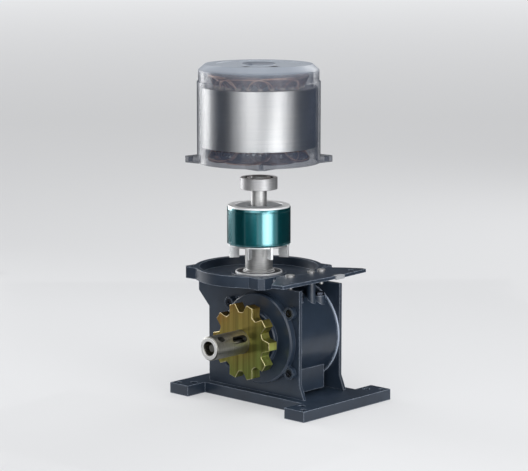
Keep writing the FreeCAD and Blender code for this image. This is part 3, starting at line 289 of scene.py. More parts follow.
def core_steel():
    """Ground stack of laminations: hair-thin horizontal lines and faint upright brushing."""
    f = Finish("lamination_stack")
    z = f.split(f.place)[2]
    lines = f.math("SINE", f.math("MULTIPLY", z, TURN / LAMINATION))
    drift = f.noise(900.0, 3.0, 0.6, (0.02, 0.02, 1.0))
    brush = f.noise(420.0, 3.0, 0.55, (1.0, 1.0, 0.02))
    color = f.shades(drift, linear(222, 223, 224), linear(236, 236, 235))
    color = f.mix(f.span(brush, 0.35, 0.7, 0.0, 0.18), color, linear(196, 198, 201))
    height = f.math("ADD", f.math("MULTIPLY", lines, 0.2), f.math("MULTIPLY", brush, 0.5))
    rough = f.vary(brush, 0.3, 0.36)
    return f.set(color=color, metallic=1.0, roughness=rough, normal=f.bump(height, 0.03))


def teal_coat():
    """Teal metallic lacquer on the rotor, deep clear coat on top."""
    f = Finish("teal_lacquer")
    flake = f.noise(4200.0, 2.0, 0.6)
    streak = f.noise(240.0, 3.0, 0.5, (1.0, 1.0, 0.04))
    color = f.shades(streak, linear(0, 88, 96), linear(0, 108, 116))
    color = f.mix(f.span(flake, 0.55, 0.75, 0.0, 0.3), color, linear(8, 124, 128))
    f.set(color=color, metallic=0.85, roughness=f.vary(flake, 0.2, 0.28))
    return f.set(coat=1.0, coat_roughness=0.13, coat_ior=1.7, normal=f.bump(streak, 0.02))


def cast_aluminium():
    """Bright die-cast aluminium with a fine skin."""
    f = Finish("cast_aluminium")
    skin = f.noise(1300.0, 4.0, 0.65)
    cloud = f.noise(130.0, 3.0)
    color = f.shades(skin, linear(190, 192, 194), linear(218, 220, 221))
    color = f.mix(f.span(cloud, 0.5, 0.75, 0.0, 0.3), color, linear(160, 163, 167))
    rough = f.vary(skin, 0.42, 0.56)
    return f.set(color=color, metallic=1.0, roughness=rough, normal=f.bump(skin, 0.1))


def end_ring():
    """Turned end ring of the rotor: matte white rim, duller dish inside it."""
    f = Finish("end_ring_aluminium")
    ring = f.rings(MOTOR_AXIS)
    rim = f.span(f.around(MOTOR_AXIS)[1], RIM_RADIUS - 0.5 * MM, RIM_RADIUS + 0.1 * MM)
    dish = f.shades(ring, linear(150, 153, 158), linear(180, 183, 187))
    face = f.shades(ring, linear(226, 228, 230), linear(244, 245, 246))
    f.set(color=f.mix(rim, dish, face), metallic=f.span(rim, 0.0, 1.0, 0.6, 0.35))
    return f.set(roughness=f.vary(ring, 0.42, 0.54), normal=f.bump(ring, 0.12))


def faced_shaft(node):
    """Ground shaft with turning rings along it and a bright faced-off front end."""
    f = Finish("faced_shaft")
    ring = f.rings(OUTPUT_AXIS, "y")
    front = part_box(node)[0].y
    end = f.span(f.split(f.place)[1], front + 0.35 * MM, front + 0.15 * MM)
    side = f.shades(ring, linear(108, 108, 103), linear(142, 141, 135))
    face = f.shades(ring, linear(196, 197, 196), linear(218, 218, 216))
    f.set(color=f.mix(end, side, face), metallic=f.span(end, 0.0, 1.0, 1.0, 0.3))
    return f.set(roughness=f.vary(ring, 0.34, 0.46), normal=f.bump(ring, 0.1))


def sealed_ring(node):
    """Bearing ring whose outer rim is bright ground steel and whose inner part is a dark seal."""
    f = Finish("sealed_ring")
    low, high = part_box(node)
    edge = (high.x - low.x) / 2.0 - 1.5 * MM
    rim = f.span(f.around(MOTOR_AXIS)[1], edge - 0.2 * MM, edge + 0.2 * MM)
    grain = f.rings(MOTOR_AXIS)
    steel = f.shades(grain, linear(204, 205, 207), linear(232, 233, 234))
    seal = f.shades(grain, linear(26, 28, 32), linear(44, 47, 52))
    f.set(color=f.mix(rim, seal, steel), metallic=f.math("MULTIPLY", rim, 0.6))
    return f.set(roughness=f.vary(grain, 0.38, 0.5), normal=f.bump(grain, 0.1))


def zinc():
    """Bright zinc plating, slightly mottled."""
    f = Finish("bright_zinc")
    spangle = f.noise(700.0, 3.0, 0.6)
    color = f.shades(spangle, linear(178, 181, 185), linear(206, 209, 212))
    rough = f.vary(spangle, 0.36, 0.5)
    return f.set(color=color, metallic=0.7, roughness=rough, normal=f.bump(spangle, 0.05))


def brass(name, low, high, polish):
    """Brushed brass with upright streaks and a painted reflection: an olive drift from one corner to the
    other.
    """
    f = Finish(name)
    fine = f.noise(1500.0, 3.0, 0.6, (1.0, 1.0, 0.012))
    wide = f.noise(330.0, 3.0, 0.6, (1.0, 1.0, 0.02))
    x, _, z = f.split(f.place)
    # Painted reflection: the colour drifts from olive to orange across the face
    drift = f.math("SUBTRACT", f.math("MULTIPLY", z, 9.0), f.math("MULTIPLY", x, 6.0))
    drift = f.math("ADD", drift, f.vary(f.noise(30.0, 2.0), -0.15, 0.15))
    color = f.mix(f.span(drift, 0.2, 0.95), low, high)
    color = f.mix(f.span(wide, 0.38, 0.66, 0.0, 0.55), color, linear(88, 76, 36))
    color = f.mix(f.span(fine, 0.4, 0.75, 0.0, 0.35), color, linear(190, 180, 110))
    rough = f.vary(fine, polish, polish + 0.14)
    return f.set(color=color, metallic=1.0, roughness=rough, normal=f.bump(fine, 0.12))


def bronze():
    """Bronze of the worm wheel, with tool marks along its teeth."""
    f = Finish("hobbed_bronze")
    film = f.noise(160.0, 4.0, 0.6)
    mark = f.noise(1800.0, 3.0, 0.6, (1.0, 0.06, 1.0))
    color = f.shades(film, linear(150, 104, 52), linear(190, 138, 74))
    color = f.mix(f.span(mark, 0.5, 0.8, 0.0, 0.4), color, linear(220, 176, 110))
    rough = f.vary(mark, 0.22, 0.38)
    return f.set(color=color, metallic=1.0, roughness=rough, normal=f.bump(mark, 0.1))


def enamelled_copper(name, dark, light, metallic):
    """Copper wire in clear enamel; each turn a little lighter or darker, with pale flecks as painted
    glints.
    """
    f = Finish(name)
    turn = f.noise(420.0, 2.0, 0.5)
    fleck_glint = f.noise(2600.0, 2.0)
    color = f.mix(f.span(turn, 0.32, 0.68), dark, light)
    # Painted glints: pale flecks on the wire
    color = f.mix(f.span(fleck_glint, 0.6, 0.85, 0.0, 0.4), color, linear(236, 200, 176))
    f.set(color=color, metallic=metallic, roughness=f.vary(fleck_glint, 0.3, 0.44))
    return f.set(coat=0.4, coat_roughness=0.14, normal=f.bump(fleck_glint, 0.06))


def slot_paper():
    """Cream insulating paper of the slots."""
    f = Finish("slot_paper")
    fibre = f.noise(1500.0, 4.0, 0.7, (1.0, 1.0, 0.3))
    color = f.shades(fibre, linear(196, 178, 156), linear(232, 220, 204))
    return f.set(color=color, roughness=0.72, normal=f.bump(fibre, 0.2))


def clear_shell():
    """See-through smoke-blue shell: clearest over the stator core, darker skirt, milky cap."""
    f = Finish("smoke_shell")
    z = f.split(f.place)[2]
    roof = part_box("motor_shell")[1].z
    core_low, core_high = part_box("stator_core")
    soft = 1.2 * MM
    cap = f.span(z, roof - 11.5 * MM, roof - 4.5 * MM)
    skirt = f.span(z, core_low.z + soft, core_low.z - soft)
    shoulder = f.span(z, core_high.z - soft, core_high.z + soft)
    haze = f.noise(40.0, 3.0)
    fine = f.noise(900.0, 3.0, 0.6)
    color = f.shades(haze, linear(62, 69, 83), linear(76, 84, 99))
    color = f.mix(shoulder, color, linear(112, 118, 132))
    color = f.mix(cap, color, linear(164, 173, 186))
    # Painted shade round each vent in the roof: a dark, nearly opaque ring
    shade = 0.0
    for degrees, radius in VENTS:
        turn = math.radians(degrees)
        centre = (MOTOR_X + VENT_PLACE * math.cos(turn), VENT_PLACE * math.sin(turn), 0.0)
        ring = f.around(centre)[1]
        shade = f.math("MAXIMUM", shade, f.span(ring, radius + 2.2 * MM, radius + 1.4 * MM))
    shade = f.math("MULTIPLY", shade, f.span(z, roof - 9.0 * MM, roof - 7.0 * MM))
    color = f.mix(shade, color, linear(30, 35, 44))
    # Painted shade over the boss in the middle of the roof
    boss = f.span(f.around(MOTOR_AXIS)[1], BOSS + 0.9 * MM, BOSS + 0.3 * MM)
    color = f.mix(f.math("MULTIPLY", boss, cap), color, linear(104, 113, 128))
    rim = f.add("ShaderNodeLayerWeight")
    rim.inputs["Blend"].default_value = 0.3
    alpha = f.span(rim.outputs["Facing"], 0.1, 0.95, 0.17, 0.88)
    for zone, least in ((shoulder, 0.36), (skirt, 0.5), (cap, 0.7), (shade, 0.9)):
        alpha = f.math("MAXIMUM", alpha, f.math("MULTIPLY", zone, least))
    f.material.surface_render_method = "BLENDED"
    rough = f.math("ADD", f.vary(fine, 0.08, 0.16), f.math("MULTIPLY", cap, 0.26))
    return f.set(color=color, roughness=rough, alpha=alpha, ior=1.5, normal=f.bump(fine, 0.02))


def dark_screw():
    """Dark plating on screws and plugs, with a painted highlight along its edges."""
    f = Finish("dark_plating")
    film = f.noise(500.0, 3.0, 0.6)
    color = f.shades(film, linear(34, 37, 44), linear(56, 60, 69))
    # Painted highlight: the edges are lightened through a bevel mask
    color = f.mix(f.math("MULTIPLY", f.edges(0.0004), 0.6), color, linear(132, 138, 148))
    rough = f.vary(film, 0.26, 0.42)
    return f.set(color=color, metallic=1.0, roughness=rough, normal=f.bump(film, 0.05))


def black_rubber():
    """Dull black nitrile rubber of the seals."""
    f = Finish("black_nitrile")
    grain = f.noise(1600.0, 3.0, 0.6)
    color = f.shades(grain, linear(20, 20, 22), linear(36, 36, 39))
    return f.set(color=color, roughness=f.vary(grain, 0.5, 0.68), normal=f.bump(grain, 0.15))


finishes = {
    # Slate paint: the numbers are the strengths of the painted edge highlight and of the painted highlight
    # on the drum's bead
    "housing_paint": casing_paint("slate_paint", 0.9),
    "inner_paint": casing_paint("slate_paint_dim_edge_highlight", 0.25),
    "drum_paint": casing_paint("slate_paint_drum_bead_highlight", 0.9, 0.7),
    "clear_shell": clear_shell(),
    "core_steel": core_steel(),
    "copper": enamelled_copper("enamelled_copper", linear(96, 72, 66), linear(168, 118, 98), 0.85),
    "teal_rotor": teal_coat(),
    "cast_aluminium": cast_aluminium(),
    "turned_steel": turned_metal(
        "turned_steel", MOTOR_AXIS, "z", linear(158, 159, 160), linear(188, 188, 187), 0.4, 0.52, 0.85),
    "output_steel": turned_metal(
        "turned_output", OUTPUT_AXIS, "y", linear(132, 132, 127), linear(170, 169, 163), 0.34, 0.46),
    # The bearing steel's last colour is a painted highlight on its faces that look up
    "bearing_steel": turned_metal(
        "bearing_steel", MOTOR_AXIS, "z", linear(152, 153, 155), linear(180, 180, 181), 0.4, 0.5, 0.7,
        linear(244, 245, 246)),
    "output_bearing": turned_metal(
        "output_bearing", OUTPUT_AXIS, "y", linear(178, 179, 181), linear(208, 208, 209), 0.36, 0.46, 0.7),
    "brass": brass("brushed_brass", linear(168, 182, 96), linear(182, 128, 68), 0.3),
    "bronze": bronze(),
    "dark_screws": dark_screw(),
    "end_ring": end_ring(),
    "zinc": zinc(),
    "sealed_ring": sealed_ring("lower_bearing_outer_ring"),
    "faced_shaft": faced_shaft("output_shaft"),
    "rubber": black_rubber(),
}
slot_of = {item["node"]: item["material_slot"] for item in frame["record"]["subparts"]}
body_of = {}
for body, members in frame["record"]["behaviour"]["bodies"].items():
    for member in members:
        body_of[member] = body

# Pieces whose finish is darker or brighter than the rest of their slot
OWN_FINISH = {
    # The front cover lies in shade: the same paint with a weaker painted edge highlight
    "front_cover": "inner_paint",
    # The gear chamber's paint has a painted highlight on the drum's bead
    "gear_chamber": "drum_paint",
    "output_shaft": "faced_shaft",
    "oil_breather": "dark_screws",
    "top_bearing_shields": "rubber",
    # The edge clip's bright zinc stands in for a reflection on the plate's edge: a painted reflection
    "edge_clip": "zinc",
    "lower_bearing_outer_ring": "sealed_ring",
}


def finish_for(node):
    """The node's own finish or its slot's, with rings that run round the node's own shaft."""
    slot = OWN_FINISH.get(node, slot_of[node])
    if body_of[node] == "output" or node.startswith(("front_bearing", "rear_bearing")):
        slot = {"turned_steel": "output_steel", "bearing_steel": "output_bearing"}.get(slot, slot)
    return finishes[slot].material


def dress(item, material):
    """Give an object one material, in the slots that it has or in a new one."""
    if not item.material_slots:
        item.data.materials.append(material)
    for slot in item.material_slots:
        slot.material = material


for name, item in nodes.items():
    dress(item, finish_for(name))


# Mesh helpers

def put(name, data):
    """A new object in the scene."""
    item = bpy.data.objects.new(name, data)
    bpy.context.scene.collection.objects.link(item)
    return item


def settle(item, stands_for):
    """Let a piece take the place of CAD nodes and ride with their body."""
    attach(item, body_of[stands_for[0]])
    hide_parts(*stands_for)


def piece(name, vertices, faces, stands_for, material):
    """A new smooth mesh that takes the place of CAD nodes."""
    mesh = bpy.data.meshes.new(name)
    mesh.from_pydata(vertices, [], faces)
    mesh.validate()
    item = put(name, mesh)
    mesh.materials.append(material)
    for polygon in mesh.polygons:
        polygon.use_smooth = True
    settle(item, stands_for)
    return item


def smooth(work, crease=CREASE):
    """Smooth faces, with every edge that turns by crease or more kept sharp."""
    for face in work.faces:
        face.smooth = True
    for edge in work.edges:
        edge.smooth = edge.calc_face_angle(0.0) < crease


def soften(item, width):
    """Round the edges by a small radius and keep the flats flat."""
    bevel = item.modifiers.new("Edges", "BEVEL")
    bevel.width = width
    bevel.segments = 2
    bevel.limit_method = "ANGLE"
    bevel.angle_limit = CREASE
    bevel.miter_outer = "MITER_ARC"
    bevel.use_clamp_overlap = True
    normal = item.modifiers.new("Normals", "WEIGHTED_NORMAL")
    normal.keep_sharp = True
    normal.weight = 80


def refined(node, width):
    """A copy of a CAD node's shape with rounded edges and smooth curved faces."""
    mesh = nodes[node].data.copy()
    work = bmesh.new()
    work.from_mesh(mesh)
    bmesh.ops.remove_doubles(work, verts=work.verts, dist=2e-6)
    bmesh.ops.dissolve_limit(work, angle_limit=math.radians(0.6), verts=work.verts, edges=work.edges)
    smooth(work)
    work.to_mesh(mesh)
    work.free()
    item = put(node + "_finished", mesh)
    dress(item, finish_for(node))
    soften(item, width)
    settle(item, [node])


def on_circle(radius, angle, height):
    """A point round the motor's axis."""
    return Vector((MOTOR_X + radius * math.cos(angle), radius * math.sin(angle), height))


def lathe(name, profile, stands_for, material):
    """Surface of revolution about the motor's axis, from closed (radius, height) corners."""
    steps = 160
    vertices = []
    faces = []
    count = len(profile)
    for index in range(steps):
        vertices += [on_circle(radius, TURN * index / steps, height) for radius, height in profile]
    for index in range(steps):
        here = index * count
        there = (index + 1) % steps * count
        for corner in range(count):
            after = (corner + 1) % count
            faces.append((here + corner, there + corner, there + after, here + after))
    mesh = piece(name, vertices, faces, stands_for, material).data
    work = bmesh.new()
    work.from_mesh(mesh)
    bmesh.ops.remove_doubles(work, verts=work.verts, dist=1e-7)
    bmesh.ops.recalc_face_normals(work, faces=work.faces)
    smooth(work)
    work.to_mesh(mesh)
    work.free()


# Rounded copies of the rigid pieces, with the width of the rounding in metres

for node, width in (
    ("base_plate", 0.0007), ("front_plate", 0.0006), ("rear_plate", 0.0006), ("gear_chamber", 0.0005),
    ("motor_flange", 0.0006), ("side_plate", 0.0004), ("front_cover", 0.0005), ("edge_clip", 0.0002),
    ("base_screws", 0.0003), ("levelling_screws", 0.0002), ("side_plate_screws", 0.0003),
    ("cover_screws", 0.0003), ("oil_fill_plug", 0.0003), ("oil_breather", 0.0003), ("rear_cap", 0.0004),
    ("output_shaft", 0.0004), ("release_rod", 0.0005), ("rotor_fin_ring", 0.0003),
    ("shaft_spacer", 0.0003), ("top_bearing_outer_ring", 0.0006), ("top_bearing_inner_ring", 0.0003),
    ("motor_shell", 0.0006), ("lower_bearing_outer_ring", 0.0005), ("lower_bearing_inner_ring", 0.0003),
    ("output_seal", 0.0002), ("foot_plug", 0.0003),
):
    refined(node, width)


# Rotor

def rotor():
    """Lacquered rotor with two fine grooves and rounded rims."""
    low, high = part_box("rotor_core")
    radius = (high.x - low.x) / 2.0
    bore = 7.5 * MM
    deep = radius - 0.5 * MM
    edge = 0.5 * MM
    near = 2.4 * MM
    wide = 0.8 * MM
    soft = 0.12 * MM
    profile = [(bore, low.z), (radius - edge, low.z)]
    profile += [(radius - edge * 0.3, low.z + edge * 0.3), (radius, low.z + edge)]
    for start in (low.z + near, high.z - near - wide):
        end = start + wide
        profile += [(radius, start - soft), (radius - soft, start), (deep, start + soft)]
        profile += [(deep, end - soft), (radius - soft, end), (radius, end + soft)]
    profile += [(radius, high.z - edge), (radius - edge * 0.3, high.z - edge * 0.3)]
    profile += [(radius - edge, high.z), (bore, high.z)]
    lathe("rotor_drum", profile, ["rotor_core"], finishes["teal_rotor"].material)


def rotor_top():
    """Turned end ring: bright raised rim, shallow dish and a low inner bead."""
    low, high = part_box("rotor_top_ring")
    outer = (high.x - low.x) / 2.0
    base = low.z
    top = high.z
    hub = 9.1 * MM
    inner = RIM_RADIUS
    floor = base + 0.6 * MM
    profile = [
        (hub, base), (outer, base), (outer, top - 0.5 * MM), (outer - 0.15 * MM, top - 0.15 * MM),
        (outer - 0.5 * MM, top), (inner + 0.3 * MM, top), (inner, top - 0.2 * MM),
        (inner - 0.3 * MM, floor + 0.15 * MM), (inner - 0.6 * MM, floor),
        (hub + 4.2 * MM, floor), (hub + 4.0 * MM, floor + 0.15 * MM),
        (hub + 3.8 * MM, floor + 0.4 * MM), (hub, floor + 0.4 * MM),
    ]
    lathe("rotor_end_ring", profile, ["rotor_top_ring"], finishes["end_ring"].material)


rotor()
rotor_top()


# Output pinion

def rounded(corners, radii):
    """A closed polygon with each corner replaced by a smooth curve."""
    steps = 5
    outline = []
    count = len(corners)
    for index in range(count):
        before, here, after = (Vector(corners[(index + shift) % count]) for shift in (-1, 0, 1))
        reach = radii[index]
        first = here + (before - here).normalized() * min(reach, (before - here).length * 0.48)
        last = here + (after - here).normalized() * min(reach, (after - here).length * 0.48)
        for step in range(steps + 1):
            t = step / steps
            outline.append(first * (1 - t) ** 2 + here * 2 * t * (1 - t) + last * t * t)
    return outline


def pinion_outline():
    """Outline of ten stout tapered teeth between narrow roots."""
    teeth = 10
    tip, tip_half, tip_round = 35.5 * MM, 3.8 * MM, 0.7 * MM
    root, root_half, root_round = 27.6 * MM, 6.1 * MM, 1.2 * MM
    tooth = (
        (root, -root_half, root_round), (tip, -tip_half, tip_round),
        (tip, tip_half, tip_round), (root, root_half, root_round),
    )
    corners = []
    radii = []
    for index in range(teeth):
        for radius, half, soft in tooth:
            angle = TURN * index / teeth + math.asin(half / radius)
            corners.append((radius * math.cos(angle), radius * math.sin(angle)))
            radii.append(soft)
    return rounded(corners, radii)


def pinion():
    """Brass pinion with a chamfer round both faces that takes a pale painted highlight."""
    low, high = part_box("output_pinion")
    outline = pinion_outline()
    chamfer = 0.34 * MM
    count = len(outline)
    inset = []
    for index in range(count):
        before, after = outline[index - 1], outline[(index + 1) % count]
        along = (after - before).normalized()
        inset.append(outline[index] + Vector((-along.y, along.x)) * chamfer)
    rings = [
        (low.y, inset), (low.y + chamfer, outline), (high.y - chamfer, outline), (high.y, inset),
    ]
    vertices = []
    for depth, points in rings:
        vertices += [(OUTPUT_X + p.x, depth, OUTPUT_Z + p.y) for p in points]
    faces = []
    for layer in range(len(rings) - 1):
        for index in range(count):
            after = (index + 1) % count
            a, b = layer * count + index, layer * count + after
            faces.append((a, b, b + count, a + count))
    bore = 11.3 * MM
    bore_steps = 80
    start = len(vertices)
    for depth in (low.y, high.y):
        for index in range(bore_steps):
            angle = TURN * index / bore_steps
            vertices.append((OUTPUT_X + bore * math.cos(angle), depth, OUTPUT_Z + bore * math.sin(angle)))
    for index in range(bore_steps):
        after = (index + 1) % bore_steps
        faces.append((start + index, start + bore_steps + index, start + bore_steps + after, start + after))
    mesh = piece("brass_pinion", vertices, faces, ["output_pinion"], finishes["brass"].material).data
    work = bmesh.new()
    work.from_mesh(mesh)
    work.verts.ensure_lookup_table()
    for first, second in ((0, start), ((len(rings) - 1) * count, start + bore_steps)):
        edges = []
        for offset, size in ((first, count), (second, bore_steps)):
            for index in range(size):
                ends = (work.verts[offset + index], work.verts[offset + (index + 1) % size])
                edges.append(work.edges.get(ends))
        bmesh.ops.triangle_fill(work, edges=edges, use_beauty=True)
    bmesh.ops.recalc_face_normals(work, faces=work.faces)
    smooth(work, math.radians(30))
    work.to_mesh(mesh)
    work.free()
    # Painted highlight: the chamfer faces take a pale brass
    chamfer_highlight = brass("brass_chamfer_highlight", linear(214, 208, 168), linear(220, 200, 160), 0.24)
    mesh.materials.append(chamfer_highlight.material)
    for polygon in mesh.polygons:
        if 0.2 < abs(polygon.normal.y) < 0.95:
            polygon.material_index = 1


pinion()


# Stator winding

def tube(vertices, faces, points, radius):
    """Add a five-sided strand along points to the lists."""
    sides = 5
    across = Vector((0.13, 0.21, 0.97))
    start = len(vertices)
    count = len(points)
    for index, point in enumerate(points):
        along = (points[min(index + 1, count - 1)] - points[max(index - 1, 0)]).normalized()
        side = along.cross(across).normalized()
        up = side.cross(along)
        for corner in range(sides):
            angle = TURN * corner / sides
            vertices.append(point + side * (radius * math.cos(angle)) + up * (radius * math.sin(angle)))
    for index in range(count - 1):
        for corner in range(sides):
            after = (corner + 1) % sides
            a, b = start + index * sides, start + (index + 1) * sides
            faces.append((a + corner, a + after, b + after, b + corner))
    faces.append(tuple(start + corner for corner in reversed(range(sides))))
    faces.append(tuple(start + (count - 1) * sides + corner for corner in range(sides)))


def strand_path(face_z, side, begin, turn, slot_radius, head_radius, rise, kink):
    """Points of a wire that leaves one slot, arcs over the core's face and enters another."""
    steps = 12
    under = face_z - side * 3.0 * MM
    points = [on_circle(slot_radius, begin, under)]
    for step in range(steps + 1):
        t = step / steps
        angle = begin + turn * (t - math.sin(TURN * t) / 14.0)
        lift = 1.0 - abs(2.0 * t - 1.0) ** 3.2
        swell = math.sin(math.pi * t) ** 0.55
        radius = slot_radius + (head_radius - slot_radius) * swell
        height = face_z + side * (0.4 * MM + (rise + kink * math.sin(5.0 * t)) * lift)
        points.append(on_circle(radius, angle, height))
    points.append(on_circle(slot_radius, begin + turn, under))
    return points


SLOTS = 24
COILS = ["winding_upper_turns", "winding_lower_turns", "winding_slot_coils"]


def end_turns(vertices, faces, face_z, end_z, side):
    """Bundles of wire from slot to slot on one face of the core, and the faces of the strands with a
    painted glint.
    """
    pitch = 5
    strands = 9
    wire = 0.52 * MM
    slot_in, slot_out = 33.4 * MM, 41.6 * MM
    room = abs(end_z - face_z) - 1.4 * MM
    bright = set()
    for coil in range(SLOTS):
        layer = coil % 3
        for strand in range(strands):
            share = strand / (strands - 1)
            begin = TURN * (coil + random.uniform(-0.12, 0.12)) / SLOTS
            turn = TURN * (pitch + random.uniform(-0.12, 0.12)) / SLOTS
            slot_radius = slot_in + (slot_out - slot_in) * share
            head_radius = (36.0 + 4.6 * layer + 2.4 * share + random.uniform(-0.5, 0.5)) * MM
            rise = room * (0.42 + 0.2 * layer + 0.34 * random.random() * (1 - 0.2 * layer))
            kink = random.uniform(-0.5, 0.5) * MM
            path = strand_path(face_z, side, begin, turn, slot_radius, head_radius, min(rise, room), kink)
            first = len(faces)
            tube(vertices, faces, path, wire)
            # Painted glint: some strands of the outer layer are picked for a pale copper
            if layer == 2 and share > 0.6 and random.random() < 0.5:
                bright.update(range(first, len(faces)))
    return bright


def slot_liners(vertices, faces, face_z, side):
    """Ragged paper that stands out of the slots on one face of the core."""
    half = 2.1 * MM
    inner, outer = 38.0 * MM, 42.6 * MM
    run = [(inner, -half), (outer, -half), (outer, -half * 0.3)]
    run += [(outer, half * 0.3), (outer, half), (inner, half)]
    for slot in range(SLOTS):
        middle = TURN * slot / SLOTS
        start = len(vertices)
        ragged = [random.uniform(1.2, 2.6) * MM for _ in run]
        for (radius, offset), height in zip(run, ragged):
            for level in (-1.0 * MM, height):
                vertices.append(Vector((
                    MOTOR_X + radius * math.cos(middle) - offset * math.sin(middle),
                    radius * math.sin(middle) + offset * math.cos(middle),
                    face_z + side * level,
                )))
        for index in range(len(run) - 1):
            a = start + index * 2
            faces.append((a, a + 2, a + 3, a + 1))


def winding():
    """End turns of a distributed winding with paper liners, above and below the core."""
    core_low, core_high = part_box("stator_core")
    coil_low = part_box("winding_lower_turns")[0]
    coil_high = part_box("winding_upper_turns")[1]
    vertices = []
    faces = []
    glint_faces = end_turns(vertices, faces, core_high.z, coil_high.z, 1)
    glint_faces |= end_turns(vertices, faces, core_low.z, coil_low.z, -1)
    wire_faces = len(faces)
    slot_liners(vertices, faces, core_high.z, 1)
    slot_liners(vertices, faces, core_low.z, -1)
    mesh = piece("winding_wires", vertices, faces, COILS, finishes["copper"].material).data
    mesh.materials.append(slot_paper().material)
    # Painted glint: a pale, less metallic copper for the picked strands
    bright = enamelled_copper("glinting_copper", linear(240, 168, 130), linear(255, 226, 204), 0.3)
    mesh.materials.append(bright.material)
    for index, polygon in enumerate(mesh.polygons):
        polygon.material_index = 1 if index >= wire_faces else 2 if index in glint_faces else 0


winding()


# Studio

def plain(name, color, roughness, specular):
    """A plain material for what isn't part of the drive."""
    material = bpy.data.materials.new(name)
    material.use_nodes = True
    shader = material.node_tree.nodes["Principled BSDF"]
    shader.inputs["Base Color"].default_value = color
    shader.inputs["Roughness"].default_value = roughness
    shader.inputs["Specular IOR Level"].default_value = specular
    return material


def floor():
    """Pale floor, a hair below the feet, that fades into the backdrop with the distance."""
    half = 40.0
    drop = 0.0002
    near, far = 2.5, 9.0
    near_glow, far_glow = 0.4, 0.97
    mesh = bpy.data.meshes.new("floor")
    corners = [(-half, -half, 0), (half, -half, 0), (half, half, 0), (-half, half, 0)]
    mesh.from_pydata(corners, [], [(0, 1, 2, 3)])
    item = put("floor", mesh)
    item.location.z = -drop
    material = plain("pale_floor", linear(226, 227, 229), 0.62, 0.2)
    g = Graph(material.node_tree)
    glow = g.add("ShaderNodeEmission")
    glow.inputs["Color"].default_value = linear(240, 241, 243)
    length = g.add("ShaderNodeVectorMath", operation="LENGTH")
    g.link(g.add("ShaderNodeNewGeometry").outputs["Position"], length.inputs[0])
    share = g.span(length.outputs["Value"], near, far, near_glow, far_glow)
    blend = g.add("ShaderNodeMixShader")
    g.link(g.seen(share), blend.inputs[0])
    g.link(g.tree.nodes["Principled BSDF"].outputs[0], blend.inputs[1])
    g.link(glow.outputs[0], blend.inputs[2])
    g.link(blend.outputs[0], g.tree.nodes["Material Output"].inputs["Surface"])
    mesh.materials.append(material)


def world():
    """White backdrop at full strength where it is seen, and dimmer as a light."""
    light = 0.42
    item = bpy.data.worlds.new("studio")
    bpy.context.scene.world = item
    item.use_nodes = True
    g = Graph(item.node_tree)
    back = g.tree.nodes["Background"]
    back.inputs["Color"].default_value = (1.0, 1.0, 1.0, 1.0)
    g.link(g.math("ADD", g.seen(1.0 - light), light), back.inputs["Strength"])


def lamp(name, azimuth, distance, height, width, tall, watts, spread, aim):
    """A soft box that stands at an angle round the drive and faces a point on it."""
    data = bpy.data.lights.new(name, "AREA")
    data.shape = "RECTANGLE"
    data.size = width
    data.size_y = tall
    data.energy = watts
    data.spread = math.radians(spread)
    item = put(name, data)
    angle = math.radians(azimuth)
    item.location = (distance * math.cos(angle), distance * math.sin(angle), height)
    item.rotation_euler = (Vector(aim) - item.location).to_track_quat("-Z", "Y").to_euler()
    item.visible_camera = False


def flag(name, azimuth, distance, width, tall, lying=False):
    """A dark card beside the drive, upright or on the floor, seen only in reflections."""
    foot = 0.002
    lift = 0.0004
    half = width / 2
    corners = [(0, -half, foot), (0, half, foot), (0, half, tall), (0, -half, tall)]
    if lying:
        corners = [(-tall / 2, -half, 0), (tall / 2, -half, 0), (tall / 2, half, 0), (-tall / 2, half, 0)]
    mesh = bpy.data.meshes.new(name)
    mesh.from_pydata(corners, [], [(0, 1, 2, 3)])
    item = put(name, mesh)
    angle = math.radians(azimuth)
    item.location = (distance * math.cos(angle), distance * math.sin(angle), lift if lying else 0)
    item.rotation_euler = (0, 0, angle)
    mesh.materials.append(plain(name, linear(30, 33, 38), 0.9, 0.1))
    for ray in ("camera", "diffuse", "shadow", "transmission", "volume_scatter"):
        setattr(item, "visible_" + ray, False)


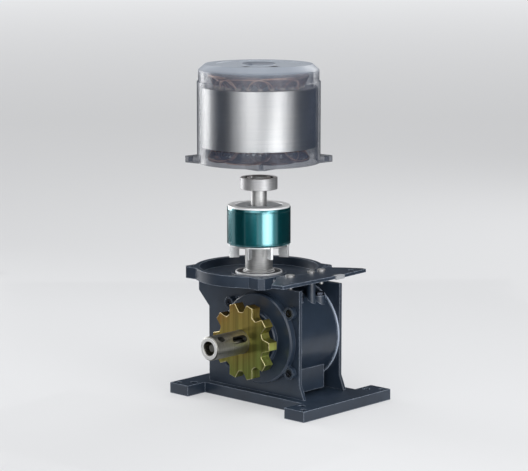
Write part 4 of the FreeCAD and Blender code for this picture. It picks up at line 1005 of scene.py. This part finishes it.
def camera():
    """The photograph's view: its focal length in pixels, over its width, times the sensor's."""
    focal_pixels = 2094.98
    photo_width = 528.0
    sensor = 36.0
    stand = (1.29965, -1.41461, 0.46649)
    target = Vector((-0.02305, 0.00329, 0.14995))
    data = bpy.data.cameras.new("camera")
    data.sensor_width = sensor
    data.sensor_fit = "HORIZONTAL"
    data.lens = focal_pixels / photo_width * sensor
    data.clip_end = 200.0
    item = put("camera", data)
    item.location = stand
    item.rotation_euler = (target - item.location).to_track_quat("-Z", "Y").to_euler()
    bpy.context.scene.camera = item


floor()
world()
DRIVE_MIDDLE = (-0.01, 0.0, 0.16)
ROTOR_MIDDLE = (MOTOR_X, 0.0, 0.15)
# Name, azimuth, distance, height, width, length, watts, spread, aim; angles in degrees, else metres
for values in (
    ("strip_right", -15.0, 1.05, 0.42, 0.3, 0.9, 0.28, 100.0, DRIVE_MIDDLE),
    ("box_right", -2.0, 1.25, 0.6, 0.5, 0.9, 1.5, 100.0, DRIVE_MIDDLE),
    ("box_front", -62.0, 1.1, 0.45, 0.8, 0.9, 1.4, 100.0, DRIVE_MIDDLE),
    ("box_left", -175.0, 1.2, 0.34, 0.6, 0.64, 1.3, 60.0, DRIVE_MIDDLE),
    ("rotor_strip", -17.0, 0.55, 0.075, 0.4, 0.1, 0.12, 60.0, ROTOR_MIDDLE),
    ("top", -70.0, 0.35, 1.7, 1.3, 1.3, 8.5, 180.0, DRIVE_MIDDLE),
    ("back", 100.0, 1.3, 0.9, 0.5, 0.7, 4.0, 180.0, DRIVE_MIDDLE),
):
    lamp(*values)
# Name, azimuth in degrees, distance, width and length in metres, and whether it lies on the floor
for values in (
    ("flag_left", -122.0, 0.45, 0.34, 0.5),
    ("flag_low", -78.0, 0.45, 0.35, 0.12),
    ("flag_right", 66.0, 0.45, 0.8, 0.5),
    ("flag_back", 135.0, 0.6, 0.62, 0.5),
    ("flag_floor", -85.0, 0.2, 0.34, 0.2, True),
    ("flag_rotor", -178.0, 0.95, 0.55, 0.55, True),
):
    flag(*values)
camera()

scene = bpy.context.scene
scene.view_settings.view_transform = "Standard"
